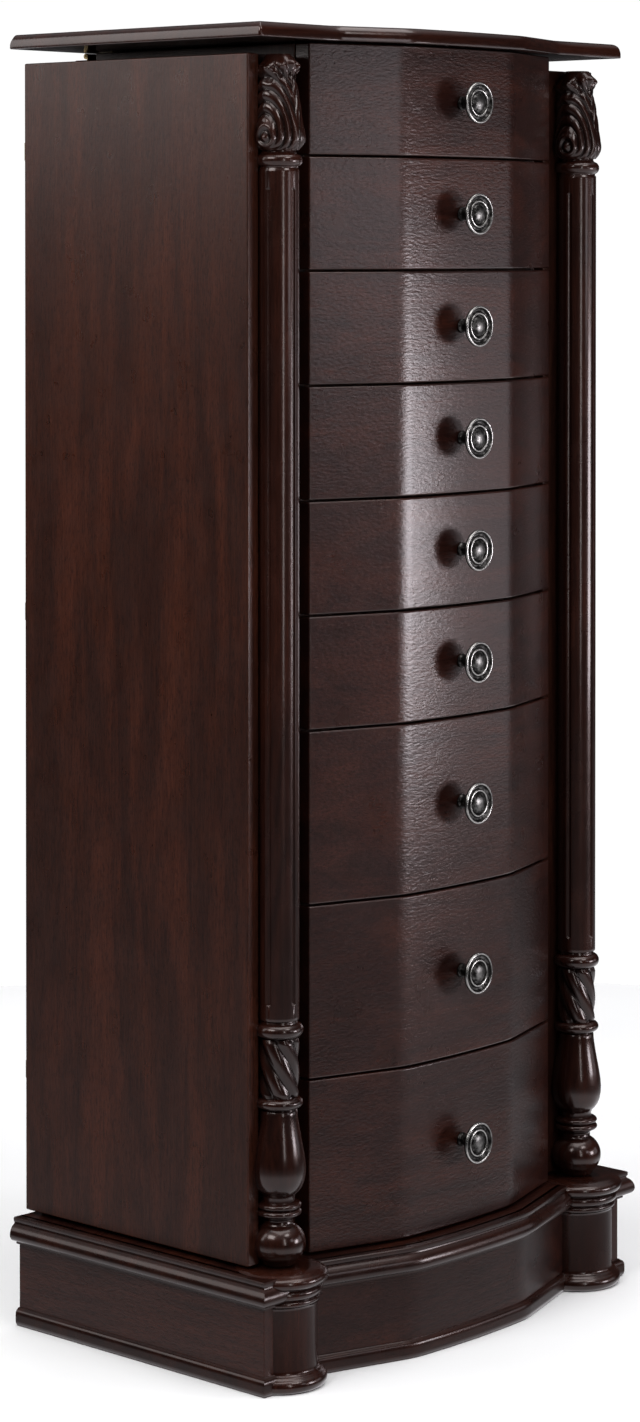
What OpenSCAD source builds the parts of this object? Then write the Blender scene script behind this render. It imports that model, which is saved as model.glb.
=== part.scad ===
// Standing jewellery chest: a bow-fronted stack of drawers between two side
// doors that carry the corner columns, a lidded tray on top, a moulded plinth.
// Millimetres, +Z up. The front faces -Y. The origin is on the floor at the
// middle of the chest's overall box.

/* [Overall] */
// Height from the floor to the top of the lid
overall_h = 1016; // [900:1:1150]
// Depth from the knobs' faces to the back edge of the lid
overall_d = 304; // [290:1:330]
// Width across the drawer fronts
front_w = 288; // [260:2:320]
// Height of the plinth, up to the turrets' tops
plinth_h = 88; // [70:1:100]

/* [Lid] */
// Width of the lid
lid_w = 433; // [405:1:470]
// Thickness of the lid
lid_t = 11.5; // [9:0.5:16]
// How far the lid's middle stands in front of the drawer fronts
lid_overhang = 14.5; // [8:0.5:20]
// Depth of the lid along its straight sides
lid_side_d = 270; // [260:1:285]
// Gap between the closed lid and the walls under it
lid_gap = 1; // [0.5:0.1:2]

/* [Bow front] */
// How far the middle of a front stands before its ends
bow_depth = 28.5; // [20:0.5:36]
// Slope of the straight wings, in degrees
wing_angle = 18; // [15:0.5:21]
// Slope at which the shallow middle arc ends, in degrees
middle_angle = 4; // [3:0.5:6]
// Radius between the middle arc and the wings
shoulder_r = 70; // [40:5:100]
// Thickness of the drawer fronts
front_t = 14; // [10:0.5:18]

/* [Drawers] */
// Number of shallow drawers
shallow_count = 5; // [3:1:6]
// Spacing of the shallow drawers
shallow_pitch = 86.8; // [70:0.2:90]
// Number of deep drawers
deep_count = 3; // [2:1:4]
// Height of the fixed front above the drawers, which hides the tray
top_front_h = 85; // [70:1:110]
// Gap between one front and the next
front_gap = 1.6; // [1:0.1:3]
// Thickness of the drawer sides
drawer_side_t = 9; // [6:0.5:12]
// Thickness of the drawer bottoms
drawer_floor_t = 4; // [3:0.5:8]

/* [Knobs] */
// Diameter of a knob's disc
knob_d = 32; // [24:1:36]
// How far a knob stands out from its front
knob_proud = 23.5; // [18:0.5:28]

/* [Doors] */
// Distance between the outer faces of the two doors
doors_w = 412; // [390:1:440]
// Thickness of a door's panel
door_t = 12; // [9:0.5:16]
// Gap under a door
door_floor_gap = 2; // [1:0.5:4]
// Gap between a door's top and the lid
door_top_gap = 11; // [8:0.5:14]
// Necklace hooks on a door
hook_count = 6; // [4:1:8]

/* [Columns] */
// Distance of a column's axis from the middle plane
column_x = 179; // [172:0.5:186]
// Diameter of a column's shaft
shaft_d = 31; // [26:0.5:34]
// Number of strands in the twist near a column's foot
twist_strands = 6; // [4:1:8]

/* [Hidden] */
// The shallow drawers and, below them, the deep ones, numbered from the top
drawer_count = shallow_count + deep_count;
$fn = 96;

// Planes from front to back
knob_face_y = -overall_d / 2;
face_y = knob_face_y + knob_proud;
front_end_y = face_y + bow_depth;
rear_y = overall_d / 2;
lid_rear_overhang = 5;
back_y = rear_y - lid_rear_overhang;
back_t = 16.5;
inner_back_y = back_y - back_t;
half_front = front_w / 2;

// The bow: a shallow middle arc, a tighter shoulder arc and a straight wing,
// tangent to each other. The middle radius follows from the bow's depth.
shoulder_rise = shoulder_r * (cos(middle_angle) - cos(wing_angle)
    - tan(wing_angle) * (sin(wing_angle) - sin(middle_angle)));
middle_r = (tan(wing_angle) * half_front + shoulder_rise - bow_depth)
    / (tan(wing_angle) * sin(middle_angle) - 1 + cos(middle_angle));
shoulder_x = (middle_r - shoulder_r) * sin(middle_angle);
shoulder_y = face_y + middle_r - (middle_r - shoulder_r) * cos(middle_angle);
middle_steps = 6;
shoulder_steps = 5;

// Heights
lid_z = overall_h - lid_t;
wall_top_z = lid_z - lid_gap;
fronts_z = plinth_h;
// The turrets stand a little proud of the deck
turret_proud = 1.5;
deck_z = plinth_h - turret_proud;
deck_t = 12;
door_z = plinth_h + door_floor_gap;
door_top_z = lid_z - door_top_gap;
deep_pitch = (wall_top_z - top_front_h - shallow_count * shallow_pitch - fronts_z) / deep_count;
deep_top_z = fronts_z + deep_count * deep_pitch;
tray_front_z = deep_top_z + shallow_count * shallow_pitch;

// Carcass
side_t = 12;
side_in_x = half_front - side_t;
corner_y = rear_y - lid_side_d;
// Room between the closed fronts and the sides behind them
front_slack = 0.8;
side_front_y = bow_y(half_front, -front_t) + front_slack;
back_top_z = wall_top_z - 5.5;
back_half = half_front + 7;
stile_d = 18;

// Tray under the lid
tray_floor_up = 15;
tray_floor_z = tray_front_z + tray_floor_up;
tray_floor_t = 5;
tray_wall_t = 9;
tray_in_front_y = side_front_y + tray_wall_t;
divider_t = 5;
divider_h = 34;
cushion_drop = 2;
cushion_d = 72;
cushion_y = (tray_in_front_y + inner_back_y) / 2;
cushion_gap = 0.6;

// Lid edge and the mirror under the lid
lid_round_in = 6.5;
lid_round_up = lid_t - 2.5;
mirror_half = side_in_x - 8;
mirror_front_y = tray_in_front_y + 6;
mirror_rear_y = inner_back_y - 8;
mirror_t = 3;
mirror_frame_t = 5;
mirror_frame_w = 12;

// Drawer boxes and what carries them
rail_h = 10;
rail_d = 24;
drawer_half = side_in_x - 1.5;
drawer_back_y = inner_back_y - 8.5;
box_gap = 2;
runner_h = 7.2;
runner_out = 5;
runner_set_in = 4;
groove_slack = 0.4;

// Plinth
plinth_half = 213;
plinth_board_t = 12;
plinth_bow = 11;
bead_out = 4;
bead_h = 14;
moulding_out = 10;
moulding_h = 22;
moulding_top_r = 5;
moulding_flat = 2;
fillet = 3;
turret_r = 29.5;
fit_gap = 0.2;

// Plinth profiles as [distance out, height]: a fillet, an ovolo and a soft top
moulding_profile = concat(
    [[0, deck_z - moulding_h], [fillet, deck_z - moulding_h]],
    [for (p = ovolo(moulding_out - fillet, 8)) p + [fillet, deck_z - moulding_h + fillet]],
    [for (p = reversed(ovolo(moulding_top_r, moulding_top_r + 1)))
        [moulding_out - moulding_top_r + p[0], deck_z - moulding_flat - p[1]]],
    [[moulding_out - moulding_top_r - moulding_flat, deck_z], [0, deck_z]]);
bead_profile = concat(
    [[0, 0]],
    [for (p = ovolo(bead_out, 3)) p],
    [for (p = reversed(ovolo(bead_out, 4))) [p[0], bead_h - p[1]]]);
// A turret's outline as [radius, height], with its foot bead and two top rings
turret_profile = [
    [35, 0], [36.5, 3], [36.5, 8], [34, 12], [31, 14], [turret_r, 16],
    [turret_r, plinth_h - 26], [31.5, plinth_h - 24], [31.5, plinth_h - 21],
    [33, plinth_h - 19], [33.5, plinth_h - 16], [33, plinth_h - 13], [34.5, plinth_h - 11.5],
    [37, plinth_h - 9], [37.5, plinth_h - 6.5], [37, plinth_h - 4], [34, plinth_h - 1.5],
    [33, plinth_h]];

// Doors
door_out_x = doors_w / 2;
door_in_x = door_out_x - door_t;
door_front_y = front_end_y + 5;
frame_in_x = back_half + 1;
column_y = front_end_y - 1;
frame_front_y = column_y + 14;
frame_t = 14;
frame_rear_y = back_y - stile_d - 4;
rail_x = door_in_x - 16;
hook_z = door_top_z - 44;
hook_rail_h = 22;
hook_span = 150;
hook_len = 16;

// Hinges: pins stand just behind the back
pin_r = 1.2;
knuckle_r = 2.3;
pin_y = back_y + 2.6;
leaf_t = 1;
door_pin_x = door_in_x - 1;
lid_pin_z = lid_z - knuckle_r - 0.2;
pin_slack = 0.05;
knuckle_len = 14;
knuckle_gap = 0.3;
leaf_w = 20;
hinge_end = 90;
door_hinge_z = [door_z + hinge_end, (door_z + door_top_z) / 2, door_top_z - hinge_end];
lid_hinge_x = 95;

// Turned column, from its foot to its capital
shaft_r = shaft_d / 2;
neck_r = shaft_r - 2.3;
column_z = plinth_h + 1.2;
column_top_z = door_top_z - 0.5;
ball_r = 20.3;
ball_z = plinth_h + 17;
vase_z = ball_z + 32.5;
vase_profile = [[12, 0], [14.4, 3.5], [17.4, 8.5], [19.6, 14.5], [20.4, 22.5], [19.8, 30.5],
    [18, 40.5], [15.8, 52.5], [14.6, 60.5], [14.4, 66.5], [13, 68]];
twist_z = vase_z + 77.5;
twist_h = 44;
strand_depth = 1.6;
shaft_z = twist_z + twist_h + 13.5;
capital_z = column_top_z - 72;
shaft_top_z = capital_z - 16;
flute_end = 12;
flute_angle = 75;
flute_r = 1.6;
capital_profile = [[14, 0], [15.8, 5], [17.6, 12], [18.4, 19], [17.2, 28], [14.6, 38],
    [12.4, 47], [11.8, 54], [12.6, 61], [13.6, 66], [13.4, 70], [11, 72]];

wood = [0.2, 0.1, 0.08];
dark_wood = [0.13, 0.07, 0.06];
box_wood = [0.25, 0.14, 0.1];
velvet = [0.1, 0.08, 0.08];
pewter = [0.4, 0.38, 0.35];
hinge_brass = [0.5, 0.42, 0.28];

// ---- The bow as functions: points at a distance "off" in front of the face

// A point at plan angle a, which runs from the middle (0) to the wing
function arc_point(a, off) = a <= middle_angle
    ? [(middle_r + off) * sin(a), face_y + middle_r - (middle_r + off) * cos(a)]
    : [shoulder_x + (shoulder_r + off) * sin(a), shoulder_y - (shoulder_r + off) * cos(a)];
// Depth of the bow at x, on a wing
function bow_y(x, off) = arc_point(wing_angle, off)[1]
    + (x - arc_point(wing_angle, off)[0]) * tan(wing_angle);
// Where the wing's line reaches depth y
function bow_x(y, off) = arc_point(wing_angle, off)[0]
    + (y - arc_point(wing_angle, off)[1]) / tan(wing_angle);
// One half, from the middle out to x = half
function half_bow(off, half) = concat(
    [for (i = [1 : middle_steps]) arc_point(middle_angle * i / middle_steps, off)],
    [for (i = [1 : shoulder_steps])
        arc_point(middle_angle + (wing_angle - middle_angle) * i / shoulder_steps, off)],
    [[half, bow_y(half, off)]]);
// The whole line, from left to right
function bow_line(off, half) = concat(
    [for (p = reversed(half_bow(off, half))) [-p[0], p[1]]],
    [arc_point(0, off)],
    half_bow(off, half));
function reversed(list) = [for (i = [len(list) - 1 : -1 : 0]) list[i]];

// A quarter round from [0, 0] out and up by the two sizes, flat at its start
function ovolo(out, up, steps = 5) =
    [for (i = [0 : steps]) [out * sin(90 * i / steps), up * (1 - cos(90 * i / steps))]];
// The outer half of a turned ring about the height z, as [radius, height]
function turned_ring(inner_r, bulge, z, half_h) =
    [for (a = [-75 : 30 : 75]) [inner_r + bulge * cos(a), z + half_h * sin(a)]];

// Heights of the fronts: drawer i, counted from the top
function front_top(i) = i <= shallow_count
    ? tray_front_z - (i - 1) * shallow_pitch
    : deep_top_z - (i - 1 - shallow_count) * deep_pitch;
function front_bottom(i) = front_top(i) - (i <= shallow_count ? shallow_pitch : deep_pitch);
function front_middle(i) = (front_top(i) + front_bottom(i)) / 2;
function box_bottom(i) = front_bottom(i) + rail_h / 2 + box_gap;
function box_height(i) = front_top(i) - front_bottom(i) - rail_h - 2 * box_gap;

// ---- Shared shapes

// A skin over rings of points, closed by flat ends. Seen from the last ring,
// the points run counter-clockwise.
module loft(rings) {
    count = len(rings[0]);
    last = len(rings) - 1;
    polyhedron(
        points = [for (ring = rings) each ring],
        faces = concat(
            [[for (i = [0 : count - 1]) i]],
            [for (r = [0 : last - 1], i = [0 : count - 1])
                let (here = r * count + i, next = r * count + (i + 1) % count)
                each [[here, here + count, next], [next, here + count, next + count]]],
            [[for (i = [count - 1 : -1 : 0]) last * count + i]]));
}

// Everything behind the bow, as far as y = rear
module behind_bow(off, half, rear) {
    polygon(concat(bow_line(off, half), [[half, rear], [-half, rear]]));
}

// A bowed board between two distances from the face
module bow_board(off_front, off_back, half) {
    polygon(concat(bow_line(off_front, half), reversed(bow_line(off_back, half))));
}

// A moulding swept along the bow; each profile point is [distance, height]
module bow_moulding(profile, half) {
    lines = [for (p = profile) bow_line(p[0], half)];
    loft([for (i = [len(lines[0]) - 1 : -1 : 0])
        [for (k = [0 : len(profile) - 1]) [lines[k][i][0], lines[k][i][1], profile[k][1]]]]);
}

module box(low, high) {
    translate(low) cube(high - low);
}

module both_sides() {
    children();
    mirror([1, 0, 0]) children();
}

// ---- Carcass

module carcass_side() {
    color(dark_wood)
        box([side_in_x, side_front_y, deck_z], [half_front, inner_back_y, wall_top_z]);
}

module carcass_side_left() {
    mirror([1, 0, 0]) carcass_side();
}

module carcass_side_right() {
    carcass_side();
}

module back_panel() {
    color(dark_wood)
        box([-back_half, inner_back_y, deck_z], [back_half, back_y, back_top_z]);
}

module bottom_panel() {
    color(dark_wood)
        box([-side_in_x, side_front_y, deck_z], [side_in_x, inner_back_y, deck_z + 6]);
}

// Posts at the back corners: the doors hang on them and close against them
module rear_stiles() {
    color(dark_wood) both_sides()
        box([back_half, back_y - stile_d, deck_z], [door_pin_x - 1, back_y, door_top_z - 4]);
}

// A cross rail under each front's top edge, and a runner in each drawer's groove
module drawer_rails() {
    color(box_wood) {
        for (i = [1 : drawer_count]) {
            box([-side_in_x, side_front_y, front_top(i) - rail_h / 2],
                [side_in_x, side_front_y + rail_d, front_top(i) + rail_h / 2]);
            both_sides() drawer_runner(i);
        }
    }
}

module drawer_runner(i) {
    middle_z = box_bottom(i) + box_height(i) / 2;
    box([side_in_x - runner_out, side_front_y + runner_set_in, middle_z - runner_h / 2],
        [side_in_x, drawer_back_y - runner_set_in, middle_z + runner_h / 2]);
}

module tray() {
    color(box_wood) {
        box([-side_in_x, side_front_y, tray_floor_z],
            [side_in_x, inner_back_y, tray_floor_z + tray_floor_t]);
        box([-side_in_x, side_front_y, tray_floor_z],
            [side_in_x, tray_in_front_y, wall_top_z]);
    }
}

// Two long dividers hold the ring cushion; short ones split the front and the back
module tray_dividers() {
    low = tray_floor_z + tray_floor_t;
    high = low + divider_h;
    front_y = cushion_y - cushion_d / 2 - divider_t;
    back_side_y = cushion_y + cushion_d / 2;
    color(velvet) {
        box([-side_in_x, front_y, low], [side_in_x, front_y + divider_t, high]);
        box([-side_in_x, back_side_y, low], [side_in_x, back_side_y + divider_t, high]);
        both_sides()
            box([side_in_x / 3, tray_in_front_y, low],
                [side_in_x / 3 + divider_t, front_y, high]);
        box([-divider_t / 2, back_side_y + divider_t, low], [divider_t / 2, inner_back_y, high]);
    }
}

module ring_cushion() {
    color(velvet)
        box([-side_in_x + cushion_gap, cushion_y - cushion_d / 2 + cushion_gap,
             tray_floor_z + tray_floor_t],
            [side_in_x - cushion_gap, cushion_y + cushion_d / 2 - cushion_gap,
             tray_floor_z + tray_floor_t + divider_h - cushion_drop]);
}

module top_front() {
    color(wood)
        translate([0, 0, tray_front_z + front_gap / 2])
        linear_extrude(wall_top_z - tray_front_z - front_gap / 2)
        bow_board(0, -front_t - front_slack * cos(wing_angle), half_front);
}

module top_knob() {
    knob((wall_top_z + tray_front_z) / 2);
}

// ---- Knobs: a dished disc with a raised rim and a domed centre on a neck

module knob(middle_z) {
    r = knob_d / 2;
    color(pewter)
        translate([0, face_y, middle_z]) rotate([90, 0, 0])
        rotate_extrude()
        polygon([[0, 0], [8, 0], [8, 2], [5.5, 4], [5, knob_proud - 10], [8, knob_proud - 7.5],
                 [r - 1, knob_proud - 5.5], [r, knob_proud - 4], [r, knob_proud - 2.5],
                 [r - 1.2, knob_proud - 1.4], [r - 3.2, knob_proud - 1.4],
                 [r - 4.6, knob_proud - 3], [r - 6, knob_proud - 2.4],
                 [r - 7.2, knob_proud - 3], [r - 9, knob_proud - 1.6],
                 [r - 12, knob_proud - 0.4], [0, knob_proud]]);
}

// ---- Plinth

module plinth_deck() {
    color(wood) difference() {
        translate([0, 0, deck_z - deck_t]) linear_extrude(deck_t) union() {
            behind_bow(plinth_bow, column_x, back_y);
            translate([-plinth_half, column_y]) square([2 * plinth_half, back_y - column_y]);
        }
        both_sides() turret(fit_gap);
    }
}

module plinth_sides() {
    color(wood) both_sides() difference() {
        box([plinth_half - plinth_board_t, corner_y, 0], [plinth_half, back_y, deck_z - deck_t]);
        turret(fit_gap);
    }
}

module plinth_front() {
    color(wood) difference() {
        linear_extrude(deck_z - deck_t)
            bow_board(plinth_bow, plinth_bow - plinth_board_t, column_x - turret_r / 2);
        both_sides() turret(fit_gap);
    }
}

module plinth_back() {
    color(dark_wood)
        box([-plinth_half + plinth_board_t, back_y - plinth_board_t, 0],
            [plinth_half - plinth_board_t, back_y, deck_z - deck_t]);
}

// A strip of the given profile along both sides and along the bowed front
module plinth_strips(profile) {
    color(wood) {
        both_sides() difference() {
            translate([plinth_half, back_y, 0]) rotate([90, 0, 0])
                linear_extrude(back_y - corner_y) polygon(profile);
            turret_room();
        }
        difference() {
            bow_moulding([for (p = profile) [p[0] + plinth_bow, p[1]]], column_x - turret_r / 2);
            both_sides() turret_room();
        }
    }
}

// The mouldings stop short of a turret's widest ring
module turret_room() {
    translate([column_x, column_y, -1])
        cylinder(r = max([for (p = turret_profile) p[0]]) + fit_gap, h = plinth_h + 2);
}

module plinth_moulding() {
    plinth_strips(moulding_profile);
}

module plinth_bead() {
    plinth_strips(bead_profile);
}

// A round block at a front corner, or the room it needs with a gap round it
module turret(gap = 0) {
    translate([column_x, column_y, 0]) rotate_extrude()
        polygon(concat([[0, -gap]],
            [for (p = turret_profile) [p[0] + gap, p[1] == 0 ? -gap : p[1]]],
            [[0, turret_profile[len(turret_profile) - 1][1]]]));
}

module turrets() {
    color(wood) both_sides() turret();
}

// ---- Hinges

// A pin with the two fixed knuckles beside it, along Z from z = 0
module hinge_pin() {
    cylinder(r = pin_r, h = 3 * knuckle_len);
    cylinder(r = knuckle_r, h = knuckle_len - knuckle_gap);
    translate([0, 0, 2 * knuckle_len + knuckle_gap])
        cylinder(r = knuckle_r, h = knuckle_len - knuckle_gap);
}

// The middle knuckle, bored for the pin
module hinge_knuckle() {
    translate([0, 0, knuckle_len]) cylinder(r = knuckle_r, h = knuckle_len);
}

module knuckle_bore() {
    translate([0, 0, knuckle_len - 1]) cylinder(r = pin_r + pin_slack, h = knuckle_len + 2);
}

module hinge_bases() {
    color(hinge_brass) {
        both_sides() for (z = door_hinge_z) {
            translate([door_pin_x, pin_y, z]) hinge_pin();
            for (end = [0, 2 * knuckle_len + knuckle_gap])
                box([door_pin_x - leaf_w, back_y, z + end],
                    [door_pin_x - 1, back_y + leaf_t, z + end + knuckle_len - knuckle_gap]);
        }
        both_sides() {
            translate([lid_hinge_x, pin_y, lid_pin_z]) rotate([0, 90, 0]) hinge_pin();
            for (end = [0, 2 * knuckle_len + knuckle_gap])
                box([lid_hinge_x + end, back_y, lid_pin_z - leaf_w],
                    [lid_hinge_x + end + knuckle_len - knuckle_gap, back_y + leaf_t, lid_pin_z]);
        }
    }
}

module lid_hinge_leaves() {
    color(hinge_brass) both_sides() difference() {
        union() {
            translate([lid_hinge_x, pin_y, lid_pin_z]) rotate([0, 90, 0]) hinge_knuckle();
            box([lid_hinge_x + knuckle_len, back_y - 14, lid_z - leaf_t],
                [lid_hinge_x + 2 * knuckle_len, pin_y, lid_z]);
        }
        translate([lid_hinge_x, pin_y, lid_pin_z]) rotate([0, 90, 0]) knuckle_bore();
    }
}

module hinge_leaves() {
    color(hinge_brass) for (z = door_hinge_z) difference() {
        union() {
            translate([door_pin_x, pin_y, z]) hinge_knuckle();
            box([door_pin_x + 1, back_y, z + knuckle_len],
                [door_out_x - 1, back_y + leaf_t, z + 2 * knuckle_len]);
        }
        translate([door_pin_x, pin_y, z]) knuckle_bore();
    }
}

module hinge_leaves_left() {
    mirror([1, 0, 0]) hinge_leaves();
}

module hinge_leaves_right() {
    hinge_leaves();
}

// ---- Lid

// The lid's outline, set in from its edge on the sides and the front
function lid_outline(inset) = concat(
    [[-lid_w / 2 + inset, rear_y], [-lid_w / 2 + inset, corner_y + inset]],
    bow_line(lid_overhang - inset, bow_x(corner_y + inset, lid_overhang - inset)),
    [[lid_w / 2 - inset, corner_y + inset], [lid_w / 2 - inset, rear_y]]);

function lid_ring(inset, z) = [for (p = lid_outline(inset)) [p[0], p[1], z]];

module lid_panel() {
    color(wood)
        loft(concat(
            [lid_ring(0.6, lid_z)],
            [for (a = [0 : 18 : 90])
                lid_ring(lid_round_in * (1 - cos(a)), overall_h + lid_round_up * (sin(a) - 1))]));
}

module mirror_frame() {
    low = lid_z - mirror_frame_t;
    color(wood) difference() {
        box([-mirror_half, mirror_front_y, low], [mirror_half, mirror_rear_y, lid_z]);
        box([-mirror_half + mirror_frame_w, mirror_front_y + mirror_frame_w, low - 1],
            [mirror_half - mirror_frame_w, mirror_rear_y - mirror_frame_w, lid_z + 1]);
    }
}

module mirror_glass() {
    color([0.8, 0.85, 0.88])
        box([-mirror_half + mirror_frame_w, mirror_front_y + mirror_frame_w, lid_z - mirror_t],
            [mirror_half - mirror_frame_w, mirror_rear_y - mirror_frame_w, lid_z]);
}

// ---- Side doors, drawn on the right and mirrored for the left

module door_panel() {
    color(wood)
        box([door_in_x, door_front_y, door_z], [door_out_x, back_y, door_top_z]);
}

// Front stile behind the column, with a rail at the top and one at the bottom
module door_frame() {
    color(dark_wood) {
        box([frame_in_x, frame_front_y, door_z], [door_in_x, frame_front_y + frame_t, door_top_z]);
        for (z = [door_z, door_top_z - frame_t])
            box([frame_in_x, frame_front_y, z], [door_in_x, frame_rear_y, z + frame_t]);
    }
}

module hook_rail() {
    color(wood)
        box([rail_x, cushion_y - hook_span / 2 - 12, hook_z - hook_rail_h / 2],
            [door_in_x, cushion_y + hook_span / 2 + 12, hook_z + hook_rail_h / 2]);
}

module hooks() {
    color(hinge_brass) for (i = [0 : hook_count - 1])
        translate([rail_x, cushion_y - hook_span / 2 + i * hook_span / (hook_count - 1), hook_z])
        rotate([0, -90, 0]) rotate_extrude()
        polygon([[0, 0], [3, 0], [3, 1], [1.2, 1.6], [1.2, hook_len - 4], [2.4, hook_len - 2.8],
                 [2.4, hook_len - 1.2], [1.4, hook_len], [0, hook_len]]);
}

// The foot of a column, from the plinth to the twist
module column_foot() {
    rotate_extrude() polygon(concat(
        [[0, column_z], [ball_r - 7, column_z]],
        [for (a = [-45 : 15 : 60]) [ball_r - 17 + 17 * cos(a), ball_z + 16.5 * sin(a)]],
        [[neck_r - 2, ball_z + 17], [neck_r - 1.5, ball_z + 19.5]],
        turned_ring(neck_r, 4, ball_z + 23.5, 2.6),
        turned_ring(neck_r, 4, ball_z + 28.8, 2.4),
        [for (p = vase_profile) p + [0, vase_z]],
        turned_ring(neck_r, 4.5, twist_z - 4.5, 4.5),
        [[neck_r, twist_z], [0, twist_z]]));
}

// A rope twist, closed by a heavy ring
module twist() {
    translate([0, 0, twist_z])
        linear_extrude(height = twist_h, twist = -120, slices = 10)
        polygon([for (a = [0 : 6 : 354])
            (shaft_r - strand_depth * (1 - abs(cos(a * twist_strands / 2)))) * [cos(a), sin(a)]]);
    rotate_extrude() polygon(concat(
        [[0, twist_z + twist_h], [neck_r, twist_z + twist_h]],
        turned_ring(neck_r, 5.4, twist_z + twist_h + 6, 6),
        [[shaft_r, shaft_z], [0, shaft_z]]));
}

// The straight shaft with three round-ended flutes, and the ring on top of it
module shaft() {
    flute_z = shaft_z + flute_end;
    flute_h = shaft_top_z - shaft_z - 2 * flute_end;
    difference() {
        translate([0, 0, shaft_z]) cylinder(r = shaft_r, h = shaft_top_z - shaft_z);
        for (turn = [-flute_angle, 0, flute_angle])
            rotate([0, 0, turn]) translate([0, -shaft_r - 0.3, flute_z]) {
                cylinder(r = flute_r, h = flute_h);
                sphere(r = flute_r);
                translate([0, 0, flute_h]) sphere(r = flute_r);
            }
    }
    rotate_extrude() polygon(concat(
        [[0, shaft_top_z], [shaft_r, shaft_top_z], [shaft_r, shaft_top_z + 2]],
        turned_ring(neck_r, 4.5, shaft_top_z + 8.8, 5),
        [[neck_r, capital_z], [0, capital_z]]));
}

// A bell that swells at its foot and flares to a round top
module capital() {
    rotate_extrude() polygon(concat(
        [[0, capital_z]],
        [for (p = capital_profile) p + [0, capital_z]],
        [[0, column_top_z]]));
}

// The columns are glued into the corner between a door's panel and its stile.
// Both twists run the same way, so a column is placed on its side, not mirrored.
module column(side) {
    color(wood) difference() {
        translate([side * column_x, column_y, 0]) {
            column_foot();
            twist();
            shaft();
            capital();
        }
        mirror([side < 0 ? 1 : 0, 0, 0]) {
            box([frame_in_x - 20, frame_front_y, column_z - 1],
                [door_in_x, rear_y, column_top_z + 1]);
            box([door_in_x, door_front_y, column_z - 1],
                [door_out_x + 20, rear_y, column_top_z + 1]);
        }
    }
}

module door_panel_left() {
    mirror([1, 0, 0]) door_panel();
}

module door_panel_right() {
    door_panel();
}

module door_frame_left() {
    mirror([1, 0, 0]) door_frame();
}

module door_frame_right() {
    door_frame();
}

module hook_rail_left() {
    mirror([1, 0, 0]) hook_rail();
}

module hook_rail_right() {
    hook_rail();
}

module hooks_left() {
    mirror([1, 0, 0]) hooks();
}

module hooks_right() {
    hooks();
}

module column_left() {
    column(-1);
}

module column_right() {
    column(1);
}

// ---- Drawers, numbered from the top

module drawer_front(i) {
    color(wood)
        translate([0, 0, front_bottom(i) + front_gap / 2])
        linear_extrude(front_top(i) - front_bottom(i) - front_gap)
        bow_board(0, -front_t, half_front);
}

// Two sides, a back and a bottom; the bowed front closes the box
module drawer_box(i) {
    inner_half = drawer_half - drawer_side_t;
    middle_z = box_bottom(i) + box_height(i) / 2;
    groove_h = runner_h + 2 * groove_slack;
    color(box_wood) difference() {
        translate([0, 0, box_bottom(i)])
            linear_extrude(box_height(i)) behind_bow(-front_t, drawer_half, drawer_back_y);
        box([-inner_half, knob_face_y, box_bottom(i) + drawer_floor_t],
            [inner_half, drawer_back_y - drawer_side_t, front_top(i)]);
        both_sides() box([side_in_x - runner_out - groove_slack, knob_face_y,
                          middle_z - groove_h / 2],
            [side_in_x, rear_y, middle_z + groove_h / 2]);
    }
}

carcass_side_left();
carcass_side_right();
back_panel();
bottom_panel();
rear_stiles();
drawer_rails();
tray();
tray_dividers();
ring_cushion();
top_front();
top_knob();
plinth_deck();
plinth_sides();
plinth_front();
plinth_back();
plinth_moulding();
plinth_bead();
turrets();
hinge_bases();
lid_panel();
mirror_frame();
mirror_glass();
lid_hinge_leaves();
door_panel_left();
door_frame_left();
column_left();
hook_rail_left();
hooks_left();
hinge_leaves_left();
door_panel_right();
door_frame_right();
column_right();
hook_rail_right();
hooks_right();
hinge_leaves_right();
for (i = [1 : drawer_count]) {
    drawer_front(i);
    drawer_box(i);
    knob(front_middle(i));
}
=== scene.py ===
"""Looks of a standing jewellery chest with drawers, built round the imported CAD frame.

Sizes are millimetres in the helpers below and metres in the finished meshes. The row frame has
+Z up, the drawer fronts face -Y, and the origin lies on the floor in the middle of the chest.
"""
import math

import bmesh
import bpy
from mathutils import Matrix, Vector, noise


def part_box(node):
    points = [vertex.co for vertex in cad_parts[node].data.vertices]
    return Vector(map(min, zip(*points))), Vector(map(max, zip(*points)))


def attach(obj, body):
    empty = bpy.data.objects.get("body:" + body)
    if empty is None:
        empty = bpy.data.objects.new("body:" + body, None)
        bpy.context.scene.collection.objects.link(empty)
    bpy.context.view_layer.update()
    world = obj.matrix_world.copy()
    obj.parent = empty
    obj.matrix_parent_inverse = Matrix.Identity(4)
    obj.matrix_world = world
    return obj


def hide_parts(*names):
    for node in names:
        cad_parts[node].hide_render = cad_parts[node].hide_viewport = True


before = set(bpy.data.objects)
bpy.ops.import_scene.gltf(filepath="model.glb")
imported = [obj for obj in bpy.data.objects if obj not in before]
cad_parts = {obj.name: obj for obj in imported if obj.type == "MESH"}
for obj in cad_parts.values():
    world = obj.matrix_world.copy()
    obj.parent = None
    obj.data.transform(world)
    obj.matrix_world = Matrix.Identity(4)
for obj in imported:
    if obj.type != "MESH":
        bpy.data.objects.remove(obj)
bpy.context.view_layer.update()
scene = bpy.context.scene
MM = 0.001


# ---- measures from the frame

def box_mm(node):
    """Lowest and highest corner of a CAD node, in millimetres."""
    low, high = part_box(node)
    return [v / MM for v in low], [v / MM for v in high]


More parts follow.
